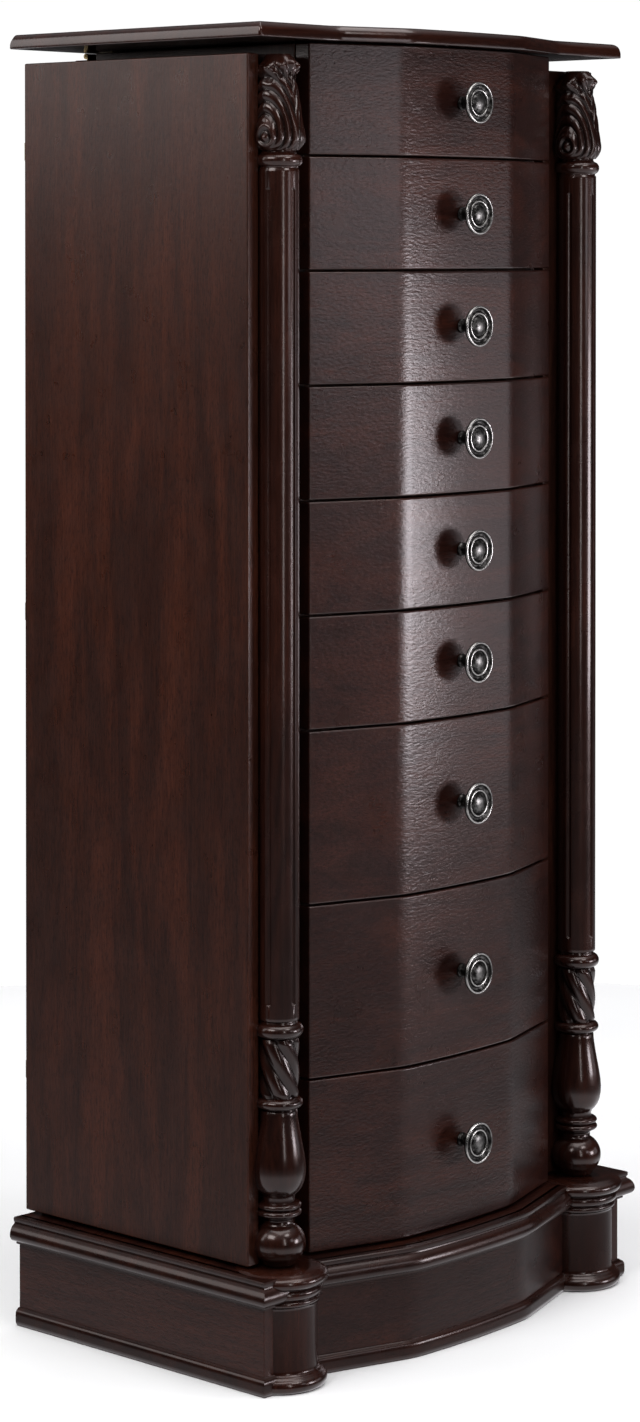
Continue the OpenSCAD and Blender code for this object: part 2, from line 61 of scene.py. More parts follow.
DRAWERS = range(1, 9)
SIDES = {"left": -1, "right": 1}
face_y = box_mm("drawer_front_1")[0][1]
half_front = box_mm("drawer_front_1")[1][0]
front_end_y = face_y + 28.5
overhang = face_y - box_mm("lid_panel")[0][1]
plinth_half = box_mm("plinth_sides")[1][0]
back_y = box_mm("back_panel")[1][1]
corner_y = box_mm("plinth_sides")[0][1]
column_x = 179
column_y = front_end_y - 1

# The bow of the fronts: a shallow middle arc, a tighter shoulder and a straight wing
MIDDLE = math.radians(4)
WING = math.radians(18)
SHOULDER_R = 70
shoulder_rise = SHOULDER_R * (math.cos(MIDDLE) - math.cos(WING)
                              - math.tan(WING) * (math.sin(WING) - math.sin(MIDDLE)))
middle_r = ((math.tan(WING) * half_front + shoulder_rise - (front_end_y - face_y))
            / (math.tan(WING) * math.sin(MIDDLE) - 1 + math.cos(MIDDLE)))
shoulder_x = (middle_r - SHOULDER_R) * math.sin(MIDDLE)
shoulder_y = face_y + middle_r - (middle_r - SHOULDER_R) * math.cos(MIDDLE)


def arc_point(angle, off):
    """A point of the bow's arcs, off millimetres in front of the drawer fronts' faces."""
    if abs(angle) <= MIDDLE:
        r = middle_r + off
        return r * math.sin(angle), face_y + middle_r - r * math.cos(angle)
    side = math.copysign(1, angle)
    r = SHOULDER_R + off
    return side * (shoulder_x + r * math.sin(abs(angle))), shoulder_y - r * math.cos(angle)


def wing_y(x, off):
    """Depth of the bow's straight wing at x."""
    px, py = arc_point(WING, off)
    return py + (abs(x) - px) * math.tan(WING)


def wing_x(y, off):
    """Where the wing reaches depth y."""
    px, py = arc_point(WING, off)
    return px + (y - py) / math.tan(WING)


def bow_stations(half):
    """Functions of the offset that give the bow's points from left to right, as far as x = half."""
    angles = ([-WING + (WING - MIDDLE) * i / 8 for i in range(9)]
              + [-MIDDLE + 2 * MIDDLE * i / 24 for i in range(1, 24)]
              + [MIDDLE + (WING - MIDDLE) * i / 8 for i in range(9)])

    def on_wing(t, side):
        def point(off, end=half):
            px, py = arc_point(WING, off)
            x = px + (end - px) * t
            return side * x, py + (x - px) * math.tan(WING)
        return point

    left = [on_wing(t / 6, -1) for t in range(6, 0, -1)]
    right = [on_wing(t / 6, 1) for t in range(1, 7)]
    middle = [lambda off, end=half, a=a: arc_point(a, off) for a in angles]
    return left + middle + right


def bow_line(off, half):
    return [station(off) for station in bow_stations(half)]


# ---- mesh helpers

def loft(bm, rings, caps=True):
    """Skins closed rings of the same number of points."""
    count = len(rings[0])
    verts = [bm.verts.new(p) for ring in rings for p in ring]
    for r in range(len(rings) - 1):
        for i in range(count):
            j = (i + 1) % count
            bm.faces.new([verts[r * count + i], verts[r * count + j],
                          verts[(r + 1) * count + j], verts[(r + 1) * count + i]])
    if caps:
        bm.faces.new(verts[:count])
        bm.faces.new(verts[-count:])


def moved(x, y, z=0):
    return Matrix.Translation((x, y, z))


def lathe(bm, profile, steps, place):
    """A turned solid about Z from [radius, height] points; a radius of 0 closes an end."""
    rings = []
    for r, z in profile:
        turns = [2 * math.pi * i / steps for i in range(steps if r > 1e-6 else 1)]
        rings.append([bm.verts.new(place @ Vector((r * math.cos(a), r * math.sin(a), z))) for a in turns])
    for low, high in zip(rings, rings[1:]):
        for i in range(steps):
            j = (i + 1) % steps
            corners = [low[i % len(low)], low[j % len(low)], high[j % len(high)], high[i % len(high)]]
            bm.faces.new(list(dict.fromkeys(corners)))


def board(bm, low, high, soft=1.0, segments=3):
    """A board with softly rounded edges."""
    size = [b - a for a, b in zip(low, high)]
    centre = [(a + b) / 2 for a, b in zip(low, high)]
    made = bmesh.ops.create_cube(bm, size=1)["verts"]
    bmesh.ops.scale(bm, vec=size, verts=made)
    bmesh.ops.translate(bm, vec=centre, verts=made)
    edges = list({e for v in made for e in v.link_edges})
    bmesh.ops.bevel(bm, geom=edges, offset=min(soft, min(size) * 0.45), segments=segments,
                    profile=0.5, affect="EDGES")


def prism(bm, outline, low, high, soft=0.6, along_y=False):
    """A flat outline pulled up, or back along Y, with its sharp edges rounded."""
    verts = [bm.verts.new((x, h, y) if along_y else (x, y, h)) for h in (low, high) for x, y in outline]
    n = len(outline)
    faces = [bm.faces.new(verts[:n]), bm.faces.new(verts[n:])]
    for i in range(n):
        j = (i + 1) % n
        faces.append(bm.faces.new([verts[i], verts[j], verts[n + j], verts[n + i]]))
    bmesh.ops.recalc_face_normals(bm, faces=faces)
    bm.normal_update()
    edges = [e for e in {e for f in faces for e in f.edges}
             if len(e.link_faces) == 2 and e.calc_face_angle() > math.radians(25)]
    if soft:
        bmesh.ops.bevel(bm, geom=edges, offset=soft, segments=2, profile=0.5,
                        affect="EDGES", clamp_overlap=True)


def section(width_low, width_high, z_low, z_high, radius, inset, steps=4):
    """A rounded rectangle as [offset, height] points, set in from its sides."""
    a0, a1, z0, z1 = width_low + inset, width_high - inset, z_low + inset, z_high - inset
    r = max(radius - inset, 0.05)
    corners = [(a1 - r, z1 - r, 0), (a0 + r, z1 - r, 90), (a0 + r, z0 + r, 180), (a1 - r, z0 + r, 270)]
    points = []
    for cx, cz, start in corners:
        for i in range(steps + 1):
            a = math.radians(start + 90 * i / steps)
            points.append((cx + r * math.cos(a), cz + r * math.sin(a)))
    return points


def bowed_board(bm, off_back, off_front, z_low, z_high, half, soft=1.4):
    """A board that follows the bow, with rounded edges all round."""
    stations = bow_stations(half)
    end_steps = 4
    rings = []

    def ring(station, inset, end):
        outline = section(off_back, off_front, z_low, z_high, soft, inset)
        return [(*station(off, end), z) for off, z in outline]

    insets = [(soft * (1 - math.cos(math.pi / 2 * k / end_steps)),
               half - soft * (1 - math.sin(math.pi / 2 * k / end_steps))) for k in range(end_steps, 0, -1)]
    for inset, end in insets:
        rings.append(ring(stations[0], inset, end))
    for station in stations:
        rings.append(ring(station, 0, half - soft))
    for inset, end in reversed(insets):
        rings.append(ring(stations[-1], inset, end))
    loft(bm, rings)


def mesh_object(name, bm, material):
    """The object of a mesh in millimetres."""
    mesh = bpy.data.meshes.new(name)
    bm.to_mesh(mesh)
    bm.free()
    mesh.transform(Matrix.Scale(MM, 4))
    mesh.materials.append(material)
    obj = bpy.data.objects.new(name, mesh)
    scene.collection.objects.link(obj)
    return obj


def finish_piece(name, bm, material, body, nodes=(), sharp=38, weighted=True, worn=None,
                 stained=None):
    """Turns a mesh in millimetres into a piece that rides on a body and stands for CAD nodes."""
    bmesh.ops.remove_doubles(bm, verts=bm.verts, dist=1e-5)
    bmesh.ops.recalc_face_normals(bm, faces=bm.faces)
    # shares per vertex: how rubbed the metal is, and how much painted shade darkens the wood's hollows
    marks = {mark: [share(v.co) if callable(share) else share for v in bm.verts]
             for mark, share in (("worn", worn), ("stained", stained)) if share is not None}
    obj = mesh_object(name, bm, M[material])
    for mark, shares in marks.items():
        obj.data.attributes.new(mark, "FLOAT", "POINT").data.foreach_set("value", shares)
    obj.data.shade_smooth()
    obj.data.set_sharp_from_angle(angle=math.radians(sharp))
    if weighted:
        soft = obj.modifiers.new("flat_faces", "WEIGHTED_NORMAL")
        soft.keep_sharp = True
        soft.weight = 100
    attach(obj, body)
    if nodes:
        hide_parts(*nodes)
    return obj


def arc(cx, cz, r_out, r_up, start, end, steps=8):
    """Points of an ellipse's arc for a turned or swept profile."""
    return [(cx + r_out * math.cos(math.radians(start + (end - start) * i / steps)),
             cz + r_up * math.sin(math.radians(start + (end - start) * i / steps)))
            for i in range(steps + 1)]


# ---- materials

class Nodes:
    """Builds the nodes of a material or a world with few words."""

    def __init__(self, owner):
        owner.use_nodes = True
        self.tree = owner.node_tree
        self.tree.nodes.clear()

    def new(self, kind, inputs=(), **settings):
        """A node, with its inputs given by number or name."""
        node = self.tree.nodes.new("ShaderNode" + kind)
        for key, value in settings.items():
            setattr(node, key, value)
        for key, value in dict(inputs).items():
            self.feed(node.inputs[key], value)
        return node

    def feed(self, socket, value):
        if hasattr(value, "links"):
            self.tree.links.new(value, socket)
        else:
            socket.default_value = value

    def math(self, how, a, b=0.0, clamp=False):
        return self.new("Math", {0: a, 1: b}, operation=how, use_clamp=clamp).outputs[0]

    def stretched(self, place, scale):
        return self.new("Mapping", {"Vector": place, "Scale": scale}).outputs[0]

    def noise(self, place, scale, detail=2.0, rough=0.5, warp=0.0):
        inputs = {"Vector": place, "Scale": scale, "Detail": detail, "Roughness": rough, "Distortion": warp}
        return self.new("TexNoise", inputs).outputs["Fac"]

    def ramp(self, value, *stops):
        node = self.new("ValToRGB", {0: value})
        band = node.color_ramp
        while len(band.elements) < len(stops):
            band.elements.new(0.5)
        for element, (at, colour) in zip(band.elements, stops):
            element.position = at
            element.color = colour if hasattr(colour, "__len__") else (colour, colour, colour, 1)
        return node.outputs[0]

    def mix(self, share, a, b, how="MIX"):
        return self.new("Mix", {0: share, 6: a, 7: b}, data_type="RGBA", blend_type=how).outputs[2]

    def bump(self, height, strength, distance, before=None):
        inputs = {"Height": height, "Strength": strength, "Distance": distance}
        if before is not None:
            inputs["Normal"] = before
        return self.new("Bump", inputs).outputs[0]


class Surface(Nodes):
    """The nodes of a material round its shader."""

    def __init__(self, name):
        self.material = bpy.data.materials.new(name)
        super().__init__(self.material)
        self.shader = self.new("BsdfPrincipled")
        self.new("OutputMaterial", {0: self.shader.outputs[0]})
        self.place = self.new("TexCoord").outputs["Object"]

    def shifted(self):
        """Object coordinates moved by a different amount on every piece."""
        chance = self.new("ObjectInfo").outputs["Random"]
        shifts = {i: self.math("MULTIPLY", chance, amount) for i, amount in enumerate((7.3, 5.1, 9.7))}
        moved = {0: self.place, 1: self.new("CombineXYZ", shifts).outputs[0]}
        return self.new("VectorMath", moved, operation="ADD").outputs[0]

    def set(self, **values):
        for key, value in values.items():
            self.feed(self.shader.inputs[key.replace("_", " ")], value)


PORE_DEPTH = 0.0004
RIPPLE_DEPTH = 0.0006


def stretch(axis, share):
    """Texture scale that draws a pattern out along an axis."""
    return tuple(share if i == axis else 1.0 for i in range(3))


def wood(name, axis, dark, light, warm, rough=(0.26, 0.38), coat=0.4, coat_rough=0.14, pore=0.6,
         peel=0.1, relief=0.3, calm=0.35, recess_shade_share=0.0):
    """Lacquered dark walnut: arched figure, fine fibre, short open pores and the lacquer's own ripple."""
    n = Surface(name)
    place = n.shifted()
    grain = n.stretched(place, stretch(axis, 0.12))
    fine = n.stretched(place, stretch(axis, 0.05))
    short = n.stretched(place, stretch(axis, 0.22))
    across = 2 if axis != 2 else 1
    # growth rings cut at a slant: a height field across the grain, bent by slow noise
    split = n.new("SeparateXYZ", {0: place})
    bend = n.noise(grain, 7, 2, 0.5)
    rings = n.math("ADD", n.math("MULTIPLY", split.outputs[across], 40.0), n.math("MULTIPLY", bend, 26.0))
    rings = n.math("ADD", rings, n.math("MULTIPLY", n.noise(grain, 40, 2, 0.5), 1.6))
    rings = n.math("PINGPONG", rings, 0.5)
    figure = n.ramp(n.math("MULTIPLY", rings, 2.0), (0.05, (*dark, 1)), (0.75, (*light, 1)))
    broad = n.ramp(n.noise(grain, 14, 3, 0.6), (0.3, 0.0), (0.7, 1.0))
    plain = n.math("ADD", n.math("MULTIPLY", broad, 1.0 - calm), calm * 0.9)
    figure = n.mix(plain, figure, tuple((a + b) / 2 for a, b in zip(dark, light)) + (1,))
    patches = n.ramp(n.noise(grain, 34, 4, 0.65, 0.5), (0.44, 0.0), (0.66, 1.0))
    figure = n.mix(n.math("MULTIPLY", patches, 0.7), figure, (*warm, 1))
    fibre = n.ramp(n.noise(fine, 520, 3, 0.7), (0.25, 0.6), (0.75, 1.4))
    figure = n.mix(1.0, figure, fibre, "MULTIPLY")
    speck = n.noise(short, 760, 4, 0.75, 0.3)
    open_pore = n.ramp(speck, (0.5, 0.0), (0.62, 1.0))
    figure = n.mix(n.math("MULTIPLY", open_pore, pore), figure, tuple(c * 0.3 for c in dark) + (1,))
    if recess_shade_share:
        # painted shade: the hollows of the carving are darkened, as much as the piece's vertex attribute
        # says
        stained = n.new("Attribute", attribute_name="stained").outputs["Fac"]
        figure = n.mix(n.math("MULTIPLY", stained, recess_shade_share), figure, tuple(c * 0.15 for c in dark) + (1,))
    ripple = n.noise(n.stretched(place, stretch(axis, 0.4)), 520, 2, 0.5)
    rough_map = n.ramp(n.noise(place, 34, 3, 0.6), (0.3, rough[0]), (0.75, rough[1]))
    raised = n.math("SUBTRACT", 1.0, speck)
    n.set(Base_Color=figure, Roughness=rough_map)
    n.set(Normal=n.bump(raised, relief, PORE_DEPTH, n.bump(ripple, peel, RIPPLE_DEPTH)))
    n.set(Coat_Normal=n.bump(raised, relief * 0.6, PORE_DEPTH, n.bump(ripple, peel * 0.8, RIPPLE_DEPTH)))
    n.set(Coat_Weight=coat, Coat_Roughness=coat_rough, Coat_IOR=1.42, IOR=1.4, Specular_IOR_Level=0.36,
          Specular_Tint=(1.0, 0.74, 0.68, 1), Coat_Tint=(1.0, 0.93, 0.92, 1))
    return n.material


def metal(name, low, high, rough, tarnish, scale=300):
    """Cast metal: dark in its recesses and rubbed bright where the piece's "worn" attribute says."""
    n = Surface(name)
    place = n.shifted()
    worn = n.new("Attribute", attribute_name="worn").outputs["Fac"]
    mottle = n.noise(place, scale, 4, 0.65)
    rubbed = n.math("ADD", worn, n.math("MULTIPLY", n.math("SUBTRACT", mottle, 0.5), 0.9), clamp=True)
    colour = n.mix(rubbed, (*low, 1), (*high, 1))
    spots = n.ramp(n.noise(place, scale * 0.35, 3, 0.6), (0.52, 0.0), (0.75, 0.5))
    colour = n.mix(spots, colour, (*tarnish, 1))
    grainy = n.noise(place, scale * 5, 3, 0.7)
    n.set(Base_Color=colour, Metallic=1.0, Normal=n.bump(grainy, 0.15, 0.0001))
    n.set(Roughness=n.ramp(rubbed, (0.0, rough[1]), (1.0, rough[0])))
    return n.material


def velvet(name, dark, light):
    """Short-pile velvet: brushed patches, a fine nap and a soft sheen."""
    n = Surface(name)
    place = n.shifted()
    brushed = n.ramp(n.noise(place, 28, 3, 0.6, 0.8), (0.35, (*dark, 1)), (0.7, (*light, 1)))
    nap = n.noise(place, 2600, 2, 0.8)
    colour = n.mix(1.0, brushed, n.ramp(nap, (0.3, 0.6), (0.7, 1.3)), "MULTIPLY")
    n.set(Base_Color=colour, Normal=n.bump(nap, 0.5, 0.0004))
    n.set(Roughness=n.ramp(nap, (0.3, 0.8), (0.7, 0.98)))
    n.set(Sheen_Weight=0.7, Sheen_Roughness=0.35, Sheen_Tint=(0.5, 0.38, 0.34, 1), IOR=1.3)
    return n.material


def silvered_glass(name):
    n = Surface(name)
    place = n.shifted()
    haze = n.noise(place, 22, 4, 0.6)
    colour = n.ramp(haze, (0.3, (0.86, 0.88, 0.885, 1)), (0.8, (0.8, 0.82, 0.83, 1)))
    n.set(Base_Color=colour, Metallic=1.0, Roughness=n.ramp(haze, (0.4, 0.015), (0.8, 0.05)))
    return n.material


DARK = (0.0085, 0.0028, 0.0024)
MID = (0.0235, 0.0074, 0.0054)
WARM = (0.042, 0.0112, 0.0062)
PANEL = ((0.013, 0.0040, 0.0026), (0.036, 0.0108, 0.0060), (0.058, 0.0148, 0.0068))
PLINTH = ((0.013, 0.0046, 0.0037), (0.039, 0.0137, 0.0102), WARM)
LID = ((0.006, 0.0020, 0.0016), (0.019, 0.0060, 0.0040), (0.03, 0.0082, 0.0044))
TURNED = ((0.0066, 0.0021, 0.0016), (0.0205, 0.0062, 0.0040), (0.032, 0.0086, 0.0047))
MOULDED = ((0.005, 0.0017, 0.0014), (0.016, 0.0050, 0.0035), (0.026, 0.0071, 0.0040))
CARCASS = ((0.010, 0.0035, 0.0024), (0.028, 0.0095, 0.006), WARM)
INSIDE = ((0.045, 0.016, 0.009), (0.10, 0.040, 0.021), (0.12, 0.042, 0.02))
POLISHED = {"pore": 0.3, "peel": 0.03, "relief": 0.12}
M = {
    "front": wood("front_veneer", 0, DARK, MID, WARM, coat=0.75, peel=0.32, relief=0.4),
    "panel": wood("panel_veneer", 2, *PANEL, calm=0.7),
    "plinth_front": wood("plinth_wood_front", 0, DARK, MID, WARM),
    "plinth_side": wood("plinth_wood_side", 1, *PLINTH),
    "lid": wood("lid_wood", 0, *LID, (0.16, 0.26), 0.75, 0.06, **POLISHED),
    # the turned wood gets painted shade in its hollows
    "turned": wood("turned_wood", 2, *TURNED, (0.2, 0.32), 0.65, 0.12, recess_shade_share=0.95, **POLISHED),
    "moulding": wood("moulding_wood", 0, *MOULDED, (0.24, 0.36), 0.4, 0.13, **POLISHED),
    "carcass": wood("carcass_wood", 2, *CARCASS, (0.35, 0.5), 0.15),
    "carcass_flat": wood("carcass_wood_flat", 0, *CARCASS, (0.35, 0.5), 0.15),
    "drawer": wood("drawer_wood", 1, *INSIDE, (0.4, 0.55), 0.1, 0.3, 0.6, 0.05),
    "velvet": velvet("velvet", (0.010, 0.0065, 0.006), (0.026, 0.017, 0.0155)),
    "pewter": metal("pewter", (0.012, 0.011, 0.0105), (0.52, 0.50, 0.48), (0.15, 0.42),
                    (0.010, 0.0095, 0.009)),
    "brass": metal("hinge_metal", (0.10, 0.068, 0.03), (0.46, 0.34, 0.17), (0.28, 0.45),
                   (0.04, 0.028, 0.016)),
    "mirror": silvered_glass("mirror"),
}


# ---- drawer fronts and knobs

FRONT_T = 14


def front_piece(name, node, body):
    low, high = box_mm(node)
    bm = bmesh.new()
    bowed_board(bm, -FRONT_T, 0, low[2], high[2], half_front)
    finish_piece(name, bm, "front", body, [node])


# A knob in section, [radius, height]: foot, neck, bell, outer rim, channel, inner rim and dome
KNOB_PROFILE = (
    [(0, 0), (5.0, 0), (5.4, 0.4), (5.4, 1.0)] + arc(5.9, 3.6, 1.6, 2.2, -110, -180, 6)
    + [(4.2, 6.2), (4.4, 8.5)] + arc(9.6, 8.8, 4.8, 4.2, 180, 115, 6) + [(10.4, 13.6), (13.2, 15.2)]
    + arc(14.6, 17.4, 1.4, 1.5, -60, 40, 7) + arc(15.0, 18.3, 0.95, 0.85, 10, 170, 8)
    + [(13.9, 17.6), (13.3, 16.9), (12.5, 16.55), (11.6, 16.6), (10.9, 17.0)]
    + arc(9.9, 17.7, 0.85, 0.8, 10, 170, 8) + [(8.9, 17.2), (8.5, 16.7), (8.1, 16.6)]
    + [(8.0 * math.cos(math.radians(a)), 16.6 + 2.9 * math.sin(math.radians(a)))
       for a in (7, 15, 24, 34, 45, 56, 67, 78)] + [(0, 19.5)])


OUTER_RIM, INNER_RIM = 15.2, 9.9
FACE_FROM, OUTER_FACE_FROM = 16.3, 18.0


def knob_piece(name, node, body):
    low, high = box_mm(node)
    middle = (low[2] + high[2]) / 2
    bm = bmesh.new()
    place = moved(0, face_y, middle) @ Matrix.Rotation(math.pi / 2, 4, "X")
    lathe(bm, KNOB_PROFILE, 72, place)

    def worn(p):
        """Rubbed bright on the two rims and on the crown of the dome."""
        r, out = math.hypot(p.x, p.z - middle), face_y - p.y
        if out < FACE_FROM or out < OUTER_FACE_FROM and r > OUTER_RIM + 0.3:
            return 0.0
        rims = max(math.exp(-((r - OUTER_RIM) / 0.7) ** 2), math.exp(-((r - INNER_RIM) / 0.6) ** 2))
        return max(rims, 0.45 * math.exp(-(r / 4.5) ** 2), 0.06)

    finish_piece(name, bm, "pewter", body, [node], sharp=60, weighted=False, worn=worn)


front_piece("top_front_board", "top_front", "carcass")
knob_piece("top_knob_turned", "top_knob", "carcass")
for i in DRAWERS:
    front_piece(f"drawer_front_{i}_board", f"drawer_front_{i}", f"drawer_{i}")
    knob_piece(f"drawer_knob_{i}_turned", f"drawer_knob_{i}", f"drawer_{i}")


# ---- drawer boxes

def pad_piece(name, body, low, high, crown, corner=3.0, steps=14):
    """A thin velvet pad with rounded edges and a gently crowned top."""
    def along(count, start, end):
        inner = [start + (end - start) * i / count for i in range(1, count)]
        return [start, start + 0.8, start + 2.0, *inner, end - 2.0, end - 0.8, end]

    def top(x, y):
        edge = min(x - low[0], high[0] - x, y - low[1], high[1] - y)
        rise = math.sqrt(max(0.0, 1 - (1 - min(edge / corner, 1.0)) ** 2))
        bulge = 1.0
        for value, a, b in ((x, low[0], high[0]), (y, low[1], high[1])):
            bulge *= 1 - (2 * (value - a) / (b - a) - 1) ** 2
        return low[2] + (high[2] - low[2]) * (0.4 + 0.6 * rise) + crown * bulge

    bm = bmesh.new()
    xs, ys = along(steps * 2, low[0], high[0]), along(steps, low[1], high[1])
    rows = [[bm.verts.new((x, y, top(x, y))) for x in xs] for y in ys]
    for near, far in zip(rows, rows[1:]):
        for i in range(len(xs) - 1):
            bm.faces.new([near[i], near[i + 1], far[i + 1], far[i]])
    rim = (rows[0] + [row[-1] for row in rows[1:-1]] + rows[-1][::-1] + [row[0] for row in rows[-2:0:-1]])
    foot = [bm.verts.new((v.co.x, v.co.y, low[2])) for v in rim]
    for i in range(len(rim)):
        j = (i + 1) % len(rim)
        bm.faces.new([rim[i], rim[j], foot[j], foot[i]])
    bm.faces.new(foot)
    pad = finish_piece(name, bm, "velvet", body, (), sharp=70, weighted=False)


WALL_T, FLOOR_T = 9, 4
GROOVE_X, GROOVE_HALF = 126.6, 4.0


def drawer_box_piece(i):
    low, high = box_mm(f"drawer_box_{i}")
    z0, z1, half, rear = low[2], high[2], high[0], high[1]
    inner = half - WALL_T
    middle = (z0 + z1) / 2
    bm = bmesh.new()
    # each side is grooved for its runner
    side = [(inner, z0), (half, z0), (half, middle - GROOVE_HALF), (GROOVE_X, middle - GROOVE_HALF),
            (GROOVE_X, middle + GROOVE_HALF), (half, middle + GROOVE_HALF), (half, z1), (inner, z1)]
    for sign in (-1, 1):
        prism(bm, [(sign * x, z) for x, z in side], wing_y(half, 1 - FRONT_T), rear, along_y=True)
    board(bm, [-inner - 0.5, rear - WALL_T, z0], [inner + 0.5, rear, z1 - 2], 0.6, 2)
    outline = bow_line(1 - FRONT_T, inner + 0.5) + [(inner + 0.5, rear - 2), (-inner - 0.5, rear - 2)]
    prism(bm, outline, z0 + 0.5, z0 + FLOOR_T, soft=0)
    finish_piece(f"drawer_box_{i}_joined", bm, "drawer", f"drawer_{i}", [f"drawer_box_{i}"])
    pad_piece(f"drawer_pad_{i}", f"drawer_{i}",
              [-inner + 0.4, wing_y(inner, -FRONT_T) + 1.5, z0 + FLOOR_T],
              [inner - 0.4, rear - WALL_T - 0.4, z0 + FLOOR_T + 3], 1.2)


for i in DRAWERS:
    drawer_box_piece(i)


# ---- carcass and tray

def board_piece(name, boxes, material, body, nodes, soft=0.8):
    """Boards, each given by its two corners, as one piece."""
    bm = bmesh.new()
    for low, high in boxes:
        board(bm, low, high, soft)
    finish_piece(name, bm, material, body, nodes)


def node_board(name, node, material, body="carcass", soft=0.8):
    """A board as large as its CAD node."""
    board_piece(name, [box_mm(node)], material, body, [node], soft)


for side in SIDES:
    node_board(f"carcass_side_{side}_board", f"carcass_side_{side}", "carcass")
node_board("back_board", "back_panel", "carcass")
node_board("bottom_board", "bottom_panel", "carcass_flat")
stile_low, stile_high = box_mm("rear_stiles")
back_half = box_mm("back_panel")[1][0]
board_piece("rear_stile_posts", [([back_half, *stile_low[1:]], stile_high),
                                 (stile_low, [-back_half, *stile_high[1:]])],
            "carcass", "carcass", ["rear_stiles"], 1.2)

side_in = box_mm("carcass_side_right")[0][0]
side_front = box_mm("carcass_side_right")[0][1]
RAIL_D, RAIL_HALF = 24, 5
RUNNER_T, RUNNER_HALF = 5, 3.6
rails = []
for i in DRAWERS:
    gap_z = box_mm(f"drawer_front_{i}")[1][2] + 0.8
    rails.append(([-side_in, side_front, gap_z - RAIL_HALF],
                  [side_in, side_front + RAIL_D, gap_z + RAIL_HALF]))
    box_low, box_high = box_mm(f"drawer_box_{i}")
    middle = (box_low[2] + box_high[2]) / 2
    for sign in (-1, 1):
        x0, x1 = sorted((sign * (side_in - RUNNER_T), sign * side_in))
        rails.append(([x0, side_front + 4, middle - RUNNER_HALF],
                      [x1, box_high[1] - 4, middle + RUNNER_HALF]))
board_piece("drawer_rails_and_runners", rails, "drawer", "carcass", ["drawer_rails"], 0.7)

tray_low, tray_high = box_mm("tray")
floor_top = box_mm("tray_dividers")[0][2]
tray_in_front = tray_low[1] + WALL_T
board_piece("tray_boards", [(tray_low, [*tray_high[:2], floor_top]),
                            (tray_low, [tray_high[0], tray_in_front, tray_high[2]])],
            "drawer", "carcass", ["tray"], 0.8)

DIVIDER_T = 5
div_top, tray_back = box_mm("tray_dividers")[1][2], box_mm("tray_dividers")[1][1]
cushion_low, cushion_high = box_mm("ring_cushion")
slot_front = cushion_low[1] - 0.6
slot_back = cushion_high[1] + 0.6
front_wall = slot_front - DIVIDER_T
back_wall = slot_back + DIVIDER_T
third = side_in / 3
third_out = third + DIVIDER_T
half_t = DIVIDER_T / 2
dividers = [(-side_in, side_in, front_wall, slot_front), (-side_in, side_in, slot_back, back_wall),
            (third, third_out, tray_in_front, front_wall), (-third_out, -third, tray_in_front, front_wall),
            (-half_t, half_t, back_wall, tray_back)]
walls = [([x0, y0, floor_top], [x1, y1, div_top]) for x0, x1, y0, y1 in dividers]
board_piece("tray_dividers_wrapped", walls, "velvet", "carcass", ["tray_dividers"],
            2.2)

pads = [(-side_in, -third_out, tray_in_front, front_wall), (-third, third, tray_in_front, front_wall),
        (third_out, side_in, tray_in_front, front_wall), (-side_in, -half_t, back_wall, tray_back),
        (half_t, side_in, back_wall, tray_back)]
for k, (x0, x1, y0, y1) in enumerate(pads, 1):
    pad_piece(f"tray_pad_{k}", "carcass", [x0 + 0.3, y0 + 0.3, floor_top],
              [x1 - 0.3, y1 - 0.3, floor_top + 2.5], 0.8)


def ring_rolls():
    """Five stuffed rolls side by side, rounded at their ends, on one flat foot."""
    low, high = cushion_low, cushion_high
    rolls, along, around = 5, 40, 96
    pitch = (high[1] - low[1]) / rolls
    arched = 0.75
    bm = bmesh.new()
    rings = []
    for s in range(along + 1):
        x = low[0] + (high[0] - low[0]) * s / along
        close = math.sqrt(max(0.0, 1 - (1 - min(min(s, along - s) / 2.2, 1.0)) ** 2))
        ring = []
        for k in range(around):
            # the first part of the outline runs over the rolls, the rest back along the foot
            u = k / around
            if u < arched:
                y = low[1] + (high[1] - low[1]) * u / arched
                roll = abs(math.sin(math.pi * (y - low[1]) / pitch)) ** 0.55
                height = (high[2] - low[2]) * (0.5 + 0.5 * roll)
                dent = noise.noise(Vector((x * 0.03, y * 0.08, 1.7))) * 0.5
                ring.append((x, y, low[2] + (height + dent) * (0.86 + 0.14 * close)))
            else:
                ring.append((x, high[1] - (high[1] - low[1]) * (u - arched) / (1 - arched), low[2]))
        rings.append(ring)
    loft(bm, rings)
    obj = finish_piece("ring_rolls", bm, "velvet", "carcass", ["ring_cushion"], sharp=80,
                       weighted=False)


ring_rolls()


# ---- lid

lid_low, lid_high = box_mm("lid_panel")
lid_half = lid_high[0]
rear_y = lid_high[1]


def lid_outline(inset):
    """The lid's edge, set in: a straight back and sides, small corners and the bow in front."""
    rear_inset = min(inset, 1.6)
    corner = max(2.5 - inset, 0.4)
    half = lid_half - inset
    front = corner_y + inset
    bow_end = wing_x(front, overhang - inset)
    right = [(half, rear_y - rear_inset)]
    right += [(half, rear_y - rear_inset - (rear_y - front - 10) * i / 6) for i in range(1, 6)]
    right += arc(half - corner, front + corner, corner, -corner, 0, 90, 4)
    right += [(bow_end + (half - corner - bow_end) * (1 - t / 4), front) for t in range(1, 4)]
    bow = bow_line(overhang - inset, bow_end)
    left = [(-x, y) for x, y in reversed(right)]
    return right + bow[::-1] + left


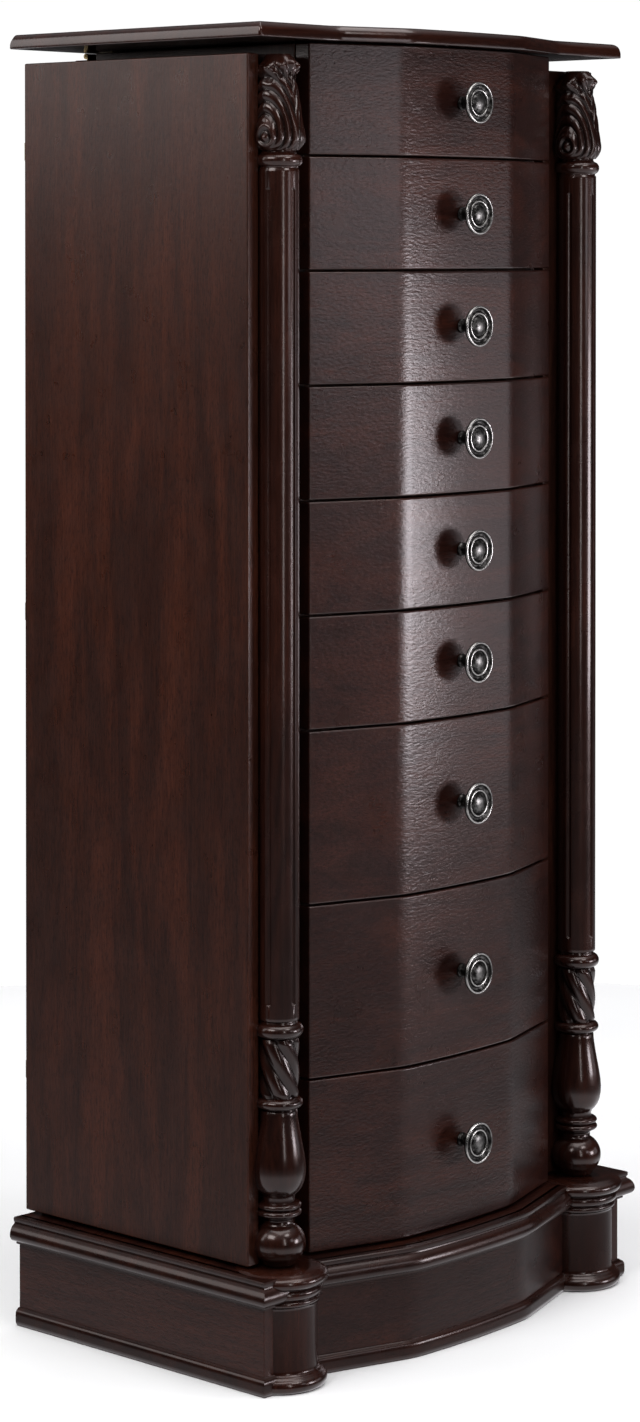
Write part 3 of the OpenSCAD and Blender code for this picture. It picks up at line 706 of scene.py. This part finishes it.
def lid_piece():
    low, high = lid_low[2], lid_high[2]
    # the edge: a small round below, a quarter ellipse above
    up, across = 9.0, 6.5
    rings = [(2.0, low), (0.7, low), (0.2, low + 0.25), (0.0, low + 0.8), (0.0, high - up)]
    rings += [(across * (1 - math.cos(math.radians(a))), high + up * (math.sin(math.radians(a)) - 1))
              for a in range(7, 85, 7)]
    rings += [(across * 0.96, high - 0.12), (across + 0.4, high), (across + 3, high)]
    bm = bmesh.new()
    loft(bm, [[(x, y, z) for x, y in lid_outline(inset)] for inset, z in rings])
    finish_piece("lid_board", bm, "lid", "lid", ["lid_panel"], sharp=50)


lid_piece()


FRAME_W = 12
# The mirror frame's face, [share of its width from the outside, height over its lowest plane]
FRAME_FACE = [(0.0, 2.0), (0.04, 1.0), (0.12, 0.3), (0.22, 0), (0.42, 0), (0.55, 0.4), (0.7, 1.4),
              (0.85, 1.9), (0.97, 2.1), (1.0, 2.4)]


def mirror_pieces():
    (x0, y0, z0), (x1, y1, z1) = box_mm("mirror_frame")
    rings = []
    for share, z in [(0, z1 - z0), *FRAME_FACE, (1, z1 - z0), (0, z1 - z0)]:
        d = FRAME_W * share
        rings.append([(x0 + d, y0 + d, z0 + z), (x1 - d, y0 + d, z0 + z),
                      (x1 - d, y1 - d, z0 + z), (x0 + d, y1 - d, z0 + z)])
    bm = bmesh.new()
    loft(bm, rings, caps=False)
    finish_piece("mirror_frame_mitred", bm, "lid", "lid", ["mirror_frame"])
    low, high = box_mm("mirror_glass")
    bm = bmesh.new()
    board(bm, low, high, 0.5, 2)
    finish_piece("mirror_pane", bm, "mirror", "lid", ["mirror_glass"])


mirror_pieces()


# ---- plinth

board_z = box_mm("plinth_deck")[0][2]
deck_z = box_mm("plinth_deck")[1][2]
PLINTH_SIDE_T = 12
PLINTH_FRONT = 11


def sweep(bm, path, profile):
    """A moulding along a mitred path; profile points are [out from the path, height], out to the right."""
    rings = []
    for k, p in enumerate(path):
        before = path[k - 1] if k else None
        after = path[k + 1] if k + 1 < len(path) else None
        normals = []
        for a, b in ((before, p), (p, after)):
            if a is not None and b is not None:
                d = Vector((b[0] - a[0], b[1] - a[1])).normalized()
                normals.append(Vector((d.y, -d.x)))
        n = sum(normals, Vector((0, 0))).normalized()
        n = n / n.dot(normals[0])
        rings.append([(p[0] + n.x * out, p[1] + n.y * out, z) for out, z in profile])
    loft(bm, rings)


# Moulding section: a thin top ledge, a full ovolo that is widest low down, an undercut and a fillet
low_z, top_z = box_mm("plinth_moulding")[0][2], box_mm("plinth_moulding")[1][2]
MOULDING = ([(-3, low_z), (2.2, low_z), (3.0, low_z + 0.5), (3.0, low_z + 2.6), (3.4, low_z + 3.2)]
            + arc(4.6, low_z + 8.4, 5.4, 5.2, -90, 0, 8)[1:] + arc(1.0, low_z + 8.6, 9.0, 9.4, 4, 62, 8)
            + [(5.0, top_z - 4.2), (5.6, top_z - 3.6), (5.9, top_z - 2.4), (5.9, top_z - 0.7), (5.2, top_z),
               (-3, top_z)])
bead_z = box_mm("plinth_bead")[1][2]
BEAD = ([(-3, 0), (2.6, 0)] + arc(1.6, 4.0, 2.4, 3.6, -60, 0, 4) + [(4.0, 8.5)]
        + arc(1.4, 8.8, 2.6, 4.4, 8, 80, 6) + [(0.9, bead_z), (-3, bead_z)])


def plinth():
    inner = plinth_half - PLINTH_SIDE_T
    boxes = [([inner, corner_y, 0], [plinth_half, back_y, board_z + 0.5]),
             ([-plinth_half, corner_y, 0], [-inner, back_y, board_z + 0.5])]
    board_piece("plinth_side_boards", boxes, "plinth_side", "carcass", ["plinth_sides"])
    bm = bmesh.new()
    bowed_board(bm, PLINTH_FRONT - PLINTH_SIDE_T, PLINTH_FRONT, 0, board_z + 0.5, column_x - 8)
    finish_piece("plinth_front_board", bm, "plinth_front", "carcass", ["plinth_front"])
    node_board("plinth_back_board", "plinth_back", "carcass_flat")
    bm = bmesh.new()
    rear = [(column_x, column_y), (plinth_half, column_y), (plinth_half, back_y)]
    outline = bow_line(PLINTH_FRONT, column_x - 6) + rear + [(-x, y) for x, y in rear[::-1]]
    prism(bm, outline, board_z, deck_z, soft=0.5)
    finish_piece("plinth_deck_board", bm, "plinth_front", "carcass", ["plinth_deck"])
    for name, profile in (("plinth_moulding", MOULDING), ("plinth_bead", BEAD)):
        bm = bmesh.new()
        # the front strip follows the bow and ends inside the corner blocks
        stations = bow_stations(column_x - 12)
        loft(bm, [[(*station(PLINTH_FRONT + out), z) for out, z in profile] for station in stations])
        for sign in (-1, 1):
            path = [(sign * plinth_half, back_y), (sign * plinth_half, corner_y), (sign * 190, corner_y)]
            # turned round on the right, so that out stays out
            sweep(bm, path[::-1] if sign > 0 else path, profile)
        finish_piece(f"{name}_strips", bm, "moulding", "carcass", [name])


plinth()

TOP = box_mm("turrets")[1][2]
# A corner block in section: foot bead, plain drum, and the rings under its top
TURRET = ([(0, 0), (33.5, 0)] + arc(31.5, 5.5, 5.0, 5.5, -70, 60, 9) + [(33.2, 10.6), (32.8, 11.6)]
          + arc(32.2, 15.0, 2.6, 3.0, -100, -180, 5) + [(29.5, 16), (29.5, TOP - 27)]
          + arc(31.5, TOP - 26.4, 2.0, 1.8, 180, 100, 3) + arc(30.2, TOP - 22.4, 1.7, 2.1, -80, 80, 6)
          + [(30.6, TOP - 19.8)] + arc(30.6, TOP - 15.6, 3.1, 3.7, -75, 75, 8) + [(31.4, TOP - 11.6)]
          + arc(32.2, TOP - 6.3, 5.3, 4.8, -80, 80, 12)
          + [(32.0, TOP - 0.9), (30.5, TOP - 0.2), (24, TOP), (0, TOP)])


def turret_piece():
    bm = bmesh.new()
    for sign in (-1, 1):
        lathe(bm, TURRET, 96, moved(sign * column_x, column_y))
    finish_piece("corner_blocks", bm, "turned", "carcass", ["turrets"], sharp=50,
                 weighted=False)


turret_piece()


# ---- doors

STILE_W = 14
HOOKS = 6
# A necklace hook in section: plate, neck, stem and round tip
HOOK = ([(0, -1), (3, -1), (3, 0.4)] + arc(2.2, 0.5, 0.8, 0.6, 0, 90, 3)
        + arc(2.0, 2.4, 0.85, 1.3, -90, -170, 4) + [(1.1, 7), (1.2, 11.6)]
        + arc(0.4, 13.8, 2.0, 2.2, -60, 80, 8) + [(0, 16)])


def door_boards(side):
    body = f"door_{side}"
    node_board(f"door_panel_{side}_board", f"door_panel_{side}", "panel", body, 1.2)
    low, high = box_mm(f"door_frame_{side}")
    inner = low[1] + STILE_W
    boxes = [(low, [high[0], inner, high[2]]),
             ([low[0], inner - 0.5, low[2]], [high[0], high[1], low[2] + STILE_W]),
             ([low[0], inner - 0.5, high[2] - STILE_W], high)]
    board_piece(f"door_frame_{side}_joined", boxes, "carcass", body, [f"door_frame_{side}"])
    node_board(f"hook_rail_{side}_board", f"hook_rail_{side}", "plinth_side", body, soft=1.5)


def door_hooks(side, sign):
    low, high = box_mm(f"hooks_{side}")
    start = box_mm(f"hook_rail_{side}")[0 if sign > 0 else 1][0]
    turn = Matrix.Rotation(-sign * math.pi / 2, 4, "Y")
    bm = bmesh.new()
    for k in range(HOOKS):
        y = low[1] + 3 + (high[1] - low[1] - 6) * k / (HOOKS - 1)
        lathe(bm, HOOK, 24, moved(start, y, (low[2] + high[2]) / 2) @ turn)
    finish_piece(f"necklace_hooks_{side}", bm, "brass", f"door_{side}", [f"hooks_{side}"],
                 sharp=50, weighted=False, worn=0.6)


for side, sign in SIDES.items():
    door_boards(side)
    door_hooks(side, sign)


# ---- columns

SHAFT_R = 15.5
FLUTES = (-75, 0, 75)
FLUTE_R = 1.75
FLUTE_END = 13.6
TWIST_RISE, TWIST_H = 125.8, 44.0
CAPITAL_H = 71.5
# The vase of the foot, [radius, height over its own foot]
VASE = [(13.0, 4.2), (15.2, 6.2), (17.5, 9.4), (19.2, 13.6), (20.2, 18.8), (20.4, 23.5), (20.0, 29.5),
        (19.0, 36), (17.6, 43.5), (16.2, 51), (15.0, 58.5), (14.3, 64), (14.2, 67.0), (13.4, 67.9)]


def turned_foot(base, twist_z):
    """From the ball at the foot to the ring below the twist."""
    ball = base + 15.8
    vase = ball + 32.5
    points = [(0, base), (12.0, base), (13.2, base + 0.6)]
    points += arc(3.4, ball, 16.9, 16.4, -52, 62, 18)
    points += arc(12.4, ball + 17.4, 1.5, 2.2, -150, -200, 4)
    points += arc(14.0, ball + 23.4, 3.3, 2.7, -80, 80, 8)
    points += arc(14.0, ball + 28.7, 3.1, 2.4, -80, 80, 8)
    points += [(12.4, vase - 0.6), (12.2, vase + 1.5)]
    points += [(r, vase + z) for r, z in VASE]
    points += arc(13.4, twist_z - 4.5, 4.9, 4.2, -80, 80, 10)
    return points + [(12.9, twist_z - 0.1), (12.6, twist_z + 1.5), (0, twist_z + 1.5)]


def twist_strand(angle, share):
    """Height of the rope twist's six strands, which run down to the right, a share of the way up."""
    return abs(math.cos(3 * (angle + math.radians(120) * share)))


def rope_twist(bm, place, foot, around=96, up=44):
    rings = []
    for k in range(up + 1):
        ease = min(1.0, k / 3, (up - k) / 3)
        ring = []
        for i in range(around):
            a = 2 * math.pi * i / around
            r = 15.6 - 2.5 * (1 - twist_strand(a, k / up) ** 0.8) - 0.9 * (1 - ease)
            ring.append(place @ Vector((r * math.cos(a), r * math.sin(a), foot + TWIST_H * k / up)))
        rings.append(ring)
    loft(bm, rings)


def at_angle(place, r, angle, z):
    """A point of a column at a plan angle from its front."""
    turn = math.radians(angle)
    return place @ Vector((r * math.sin(turn), -r * math.cos(turn), z))


def fluted(angle, z, low, high):
    """Radius of the shaft, whose flutes run from low to high and have round ends."""
    cut = 0.0
    for centre in FLUTES:
        across = abs(math.radians(angle - centre)) * SHAFT_R
        far = math.hypot(across, max(low - z, z - high, 0.0))
        if far < FLUTE_R:
            cut = max(cut, math.sqrt(FLUTE_R ** 2 - far ** 2) * 0.95)
    return SHAFT_R - cut


def fluted_shaft(bm, place, low, high):
    """The straight shaft, with finer steps beside its flutes and at their ends."""
    first, last = low + FLUTE_END, high - FLUTE_END
    angles, a = [], -180.0
    while a < 180:
        angles.append(a)
        a += 1.0 if min(abs(a - centre) for centre in FLUTES) < 8 else 4.0
    beyond = (2.0, 1.7, 1.4, 1.1, 0.8, 0.4, 0.0, -0.6)
    heights = [low + 2.5] + [first - d for d in beyond]
    heights += [first + (last - first) * k / 14 for k in range(1, 14)]
    heights += [last + d for d in beyond[::-1]] + [high + 0.5]
    loft(bm, [[at_angle(place, fluted(a, z, first, last), a, z) for a in angles] for z in heights])


def smooth(points, x):
    """A smooth curve through points, read at x."""
    last = len(points) - 1
    i = next((k for k in range(last) if x <= points[k + 1][0]), last - 1)
    (x0, y0), (x1, y1) = points[i], points[i + 1]
    xa, ya = points[max(i - 1, 0)]
    xb, yb = points[min(i + 2, last)]
    span = x1 - x0
    t = (x - x0) / span
    m0, m1 = span * (y1 - ya) / (x1 - xa), span * (yb - y0) / (xb - x0)
    return ((2 * t**3 - 3 * t**2 + 1) * y0 + (t**3 - 2 * t**2 + t) * m0
            + (3 * t**2 - 2 * t**3) * y1 + (t**3 - t**2) * m1)


def hump(angle, z, at, size, reach):
    """A rounded swelling of the carving: at (plan angle, height), size out, reach along both."""
    return size * math.exp(-((angle - at[0]) / reach[0]) ** 2 - ((z - at[1]) / reach[1]) ** 2)


# The capital's bell, [height, radius], and its scroll's centre, [distance round from the front, height]
BELL = [(0, 15.2), (4, 17.4), (9, 18.4), (15, 18.3), (24, 17.2), (32, 16.2), (40, 15.0), (48, 13.7),
        (56, 12.6), (62, 12.2), (66, 11.8), (69, 10.8), (72, 9.0)]
SCROLL = (23.5, 9.0)
RIB_PITCH = 5.6
LOBES = ((0, 4.6), (-33, 4.2), (33, 4.2), (-78, 4.4), (78, 4.4), (-122, 3.6), (122, 3.6))


def eased(t):
    """From 0 to 1 with soft ends."""
    t = min(max(t, 0.0), 1.0)
    return t * t * (3 - 2 * t)


def leaf_ribs(angle, z):
    """Ribs that wind round the scroll at the capital's side: height, strength, distance from the scroll."""
    across = math.radians(abs(angle)) * 17
    du, dz = across - SCROLL[0], z - SCROLL[1]
    dz *= 0.62 + 0.38 / (1 + math.exp(dz / 2.5))
    rho = math.hypot(du, dz)
    phase = rho / RIB_PITCH + math.atan2(-du, dz) / math.pi
    side = 2 * (phase - math.floor(phase)) - 1
    rib = (1 - abs(side) ** 1.7) ** 0.8
    fade = min(1.0, z / 2.0) * eased((68 - z) / 12) * eased((rho - 6) / 3)
    return rib, fade, rho


def carved(angle, z):
    """Radius of the leaf capital at a plan angle from the front and a height above its foot."""
    radius = smooth(BELL, z)
    radius += 3.2 * eased((abs(angle) - 45) / 50) * eased((z - 26) / 26) * eased((69 - z) / 9)
    across = math.radians(abs(angle)) * 17
    rib, fade, rho = leaf_ribs(angle, z)
    radius += 1.9 * (rib - 0.6) * fade
    # the scroll: a rolled rim, a hollow and a button
    radius += 1.4 * math.exp(-(rho / 9.0) ** 4) + 1.5 * math.exp(-((rho - 6.0) / 1.5) ** 2)
    radius += 1.6 * math.exp(-(rho / 1.9) ** 2) - 0.7 * math.exp(-((rho - 3.4) / 1.0) ** 2)
    # a rib up the middle of the front leaf
    radius += 0.9 * math.exp(-(across / 1.5) ** 2) * min(1.0, z / 6) * max(0.0, min(1.0, (52 - z) / 8))
    # lobes of the curled leaf tips, each over a hollow
    for centre, size in LOBES:
        height = 64.5 - 1.5 * abs(centre) / 36
        radius += hump(angle, z, (centre, height), size, (13.0, 3.9))
        radius -= hump(angle, z, (centre, height - 9.0), 1.6, (12, 3.4))
    return radius


def capital(bm, place, foot, around=300, up=160):
    rings = []
    for k in range(up):
        h = CAPITAL_H * k / (up - 1)
        angles = [360 * i / around - 180 for i in range(around)]
        rings.append([at_angle(place, carved(a, h), a, foot + h) for a in angles])
    loft(bm, rings)


def column_piece(side, sign):
    low, high = box_mm(f"column_{side}")
    twist_z = low[2] + TWIST_RISE
    ring_z = twist_z + TWIST_H
    shaft_z = ring_z + 13.5
    capital_z = high[2] - CAPITAL_H
    top_ring_z = capital_z - 16
    lower_ring = ([(0, -1), (12.6, -1), (12.9, 0)] + arc(13.4, 6.0, 5.2, 5.4, -80, 80, 12)
                  + arc(16.0, 13.4, 2.2, 1.9, -150, -185, 3)
                  + [(15.2, 13.9), (SHAFT_R, 14.3), (SHAFT_R, 16.5), (0, 16.5)])
    upper_ring = ([(0, -0.5), (SHAFT_R, -0.5), (SHAFT_R, 1.6), (14.6, 2.6)]
                  + arc(13.6, 8.6, 4.4, 4.9, -75, 75, 10)
                  + [(13.6, 14.0), (13.2, 15.0), (13.4, 17), (0, 17)])
    place = moved(sign * column_x, column_y)
    bm = bmesh.new()
    lathe(bm, turned_foot(low[2], twist_z), 80, place)
    rope_twist(bm, place, twist_z)
    lathe(bm, [(r, ring_z + z) for r, z in lower_ring], 80, place)
    fluted_shaft(bm, place, shaft_z, top_ring_z)
    lathe(bm, [(r, top_ring_z + z) for r, z in upper_ring], 80, place)
    capital(bm, place, capital_z)

    def stained(p):
        """Painted shade in the grooves of the twist, between the leaf ribs, in the scroll's hollow and under
        the leaf tips.
        """
        x, y = p.x - sign * column_x, p.y - column_y
        if twist_z < p.z < ring_z:
            return (1 - twist_strand(math.atan2(y, x), (p.z - twist_z) / TWIST_H)) ** 0.8
        h = p.z - capital_z
        if h < 0:
            return 0.0
        rib, fade, rho = leaf_ribs(math.degrees(math.atan2(x, -y)), h)
        hollow = math.exp(-((rho - 3.6) / 1.4) ** 2)
        return max((1 - rib) ** 0.6 * fade, hollow, math.exp(-((h - 55) / 4.0) ** 2) * 0.8)

    finish_piece(f"column_{side}_turned", bm, "turned", f"door_{side}", [f"column_{side}"],
                 sharp=60, weighted=False, stained=stained)


for side, sign in SIDES.items():
    column_piece(side, sign)


# ---- hinges

KNUCKLE_R, KNUCKLE_H, KNUCKLE_GAP = 2.3, 14.0, 0.3
HINGE_H = 3 * KNUCKLE_H
OUTER_KNUCKLES = ((0, KNUCKLE_H - KNUCKLE_GAP), (2 * KNUCKLE_H + KNUCKLE_GAP, HINGE_H))
PIN = [(0, -0.9), (0.9, -0.8), (1.5, -0.3), (1.2, 0), (1.2, HINGE_H), (1.5, HINGE_H + 0.3),
       (0.9, HINGE_H + 0.8), (0, HINGE_H + 0.9)]
LEAF_T = 1
pin_y = 149.6
door_hinge_x = 193
lid_hinge_x = 95
lid_hinge_z = lid_low[2] - 2.5
door_low, door_high = box_mm("door_panel_right")
door_hinges = [door_low[2] + 90, (door_low[2] + door_high[2]) / 2, door_high[2] - 90]


def knuckle(bm, place, low, high):
    r = KNUCKLE_R
    outline = [(0, low), (r - 0.4, low), (r, low + 0.4), (r, high - 0.4), (r - 0.4, high), (0, high)]
    lathe(bm, outline, 24, place)


def screw(bm, x, y, z):
    """A countersunk head on the back face."""
    place = moved(x, y, z) @ Matrix.Rotation(-math.pi / 2, 4, "X")
    lathe(bm, [(0, -0.4), (2.3, -0.4), (2.3, 0.1), (1.9, 0.35), (0.9, 0.42), (0, 0.3)], 20, place)


def back_leaf(bm, xs, zs):
    """A hinge leaf on the chest's back."""
    board(bm, [min(xs), back_y, zs[0]], [max(xs), back_y + LEAF_T, zs[1]], 0.3, 2)


def lid_hinge_place(sign):
    return moved(sign * lid_hinge_x, pin_y, lid_hinge_z) @ Matrix.Rotation(sign * math.pi / 2, 4, "Y")


def fixed_hinge_parts():
    bm = bmesh.new()
    for sign in (-1, 1):
        x = sign * door_hinge_x
        for z in door_hinges:
            place = moved(x, pin_y, z)
            for a, b in OUTER_KNUCKLES:
                knuckle(bm, place, a, b)
                back_leaf(bm, (x - sign * 1, x - sign * 20), (z + a, z + b))
                screw(bm, x - sign * 12, back_y + LEAF_T, z + (a + b) / 2)
            lathe(bm, PIN, 20, place)
        start = sign * lid_hinge_x
        for a, b in OUTER_KNUCKLES:
            knuckle(bm, lid_hinge_place(sign), a, b)
            back_leaf(bm, (start + sign * a, start + sign * b), (lid_hinge_z - 20, lid_hinge_z))
            screw(bm, start + sign * (a + b) / 2, back_y + LEAF_T, lid_hinge_z - 13)
        lathe(bm, PIN, 20, lid_hinge_place(sign))
    finish_piece("hinge_bases_and_pins", bm, "brass", "carcass", ["hinge_bases"], worn=0.6)


def lid_hinge_plates():
    bm = bmesh.new()
    for sign in (-1, 1):
        knuckle(bm, lid_hinge_place(sign), KNUCKLE_H, 2 * KNUCKLE_H)
        x0, x1 = sorted(sign * (lid_hinge_x + k * KNUCKLE_H) for k in (1, 2))
        board(bm, [x0, back_y - 14, lid_low[2] - LEAF_T], [x1, pin_y, lid_low[2]], 0.3, 2)
    finish_piece("lid_hinge_plates", bm, "brass", "lid", ["lid_hinge_leaves"], worn=0.6)


def door_hinge_plates(side, sign):
    bm = bmesh.new()
    x = sign * door_hinge_x
    for z in door_hinges:
        knuckle(bm, moved(x, pin_y, z), KNUCKLE_H, 2 * KNUCKLE_H)
        back_leaf(bm, (x + sign * 1, x + sign * 12), (z + KNUCKLE_H, z + 2 * KNUCKLE_H))
        screw(bm, x + sign * 7.5, back_y + LEAF_T, z + 1.5 * KNUCKLE_H)
    finish_piece(f"door_hinge_plates_{side}", bm, "brass", f"door_{side}", [f"hinge_leaves_{side}"],
                 worn=0.6)


fixed_hinge_parts()
lid_hinge_plates()
for side, sign in SIDES.items():
    door_hinge_plates(side, sign)


# ---- floor, light and camera

def floor_piece(steps=72):
    bm = bmesh.new()
    turns = [2 * math.pi * i / steps for i in range(steps)]
    loft(bm, [[(r * math.cos(a), r * math.sin(a), 0) for a in turns] for r in (0.001, 300, 700, 1000, 1300)],
         caps=False)
    n = Surface("studio_paper")
    mottle = n.noise(n.place, 3, 3, 0.5)
    n.set(Base_Color=n.ramp(mottle, (0.3, (0.86, 0.86, 0.86, 1)), (0.7, (0.9, 0.9, 0.9, 1))))
    n.set(Roughness=0.85)
    obj = mesh_object("studio_floor", bm, n.material)
    obj.visible_glossy = False
    obj.visible_diffuse = False


floor_piece()

# name: place, target, width, height, power, share of its light that the matt surfaces take, colour
COOL, WHITE = (0.96, 0.94, 1.0), (1, 1, 1)
LAMPS = {
    "key_box": ((1.30, -2.08, 0.46), (0, -0.1, 0.46), 0.66, 0.5, 18.5, 1.4, COOL),
    "fill_box": ((2.3, -1.6, 0.5), (0, -0.1, 0.5), 1.1, 0.9, 2.8, 1.0, COOL),
    "left_strip": ((-0.95, -2.3, 1.0), (0, -0.1, 0.9), 0.22, 1.5, 7, 0.1, WHITE),
    "wing_box": ((0.47, -2.4, 0.97), (0, -0.1, 0.9), 0.5, 0.5, 2.3, 0.1, COOL),
    "front_box": ((0.1, -2.2, 2.6), (0, -0.1, 0.8), 1.0, 0.6, 17, 0.4, WHITE),
    "side_box": ((-2.5, 2.2, 2.15), (-0.2, 0, 1.2), 1.9, 2.3, 36, 1.0, WHITE),
    "left_box": ((-2.6, -0.2, 2.4), (0, 0, 0.6), 1.6, 1.0, 44, 1.0, WHITE),
    "top_box": ((0.0, -0.3, 3.4), (0, 0, 0), 3.0, 3.0, 90, 1.0, WHITE),
}


def soft_light(name, place, target, width, height, power, diffuse, colour):
    data = bpy.data.lights.new(name, "AREA")
    data.shape = "RECTANGLE"
    data.size, data.size_y = width, height
    data.energy = power
    data.color = colour
    data.diffuse_factor = diffuse
    obj = bpy.data.objects.new(name, data)
    scene.collection.objects.link(obj)
    obj.location = place
    obj.rotation_euler = (Vector(target) - Vector(place)).to_track_quat("-Z", "Y").to_euler()


for name, settings in LAMPS.items():
    soft_light(name, *settings)

# Light of the room by height, [sine of the elevation, level]: dim round the horizon, so that gloss
# shows the lamps, and soft light overhead
ROOM_LOW = -0.4
ROOM = ((ROOM_LOW, 1.0), (-0.28, 0.34), (-0.12, 0.015), (0.5, 0.02), (0.85, 0.6))


def studio_room():
    """A white backdrop for the camera and the dim room for everything else."""
    world = bpy.data.worlds.new("studio")
    scene.world = world
    n = Nodes(world)
    split = n.new("SeparateXYZ", {0: n.new("TexCoord").outputs["Generated"]})
    above = n.new("MapRange", {"Value": split.outputs["Z"], "From Min": ROOM_LOW})
    levels = [((height - ROOM_LOW) / (1 - ROOM_LOW), (level, level, level * 1.04, 1))
              for height, level in ROOM]
    room = n.new("Background", {"Color": n.ramp(above.outputs["Result"], *levels)})
    backdrop = n.new("Background", {"Color": (1, 1, 1, 1), "Strength": 1.02})
    seen = n.new("LightPath").outputs["Is Camera Ray"]
    mixed = n.new("MixShader", {0: seen, 1: room.outputs[0], 2: backdrop.outputs[0]})
    n.new("OutputWorld", {0: mixed.outputs[0]})


studio_room()

camera_data = bpy.data.cameras.new("camera")
camera_data.lens = 91.4
camera_data.sensor_width = 36
camera_data.shift_x = 0.002
camera_data.shift_y = -0.2844
camera_data.clip_start = 0.05
camera_data.clip_end = 60
camera = bpy.data.objects.new("camera", camera_data)
scene.collection.objects.link(camera)
camera.location = (-2.1455, -1.9376, 0.8503)
camera.rotation_euler = (math.radians(89.04), 0, math.radians(-47.57))
scene.camera = camera
scene.view_settings.view_transform = "Standard"
scene.view_settings.look = "None"
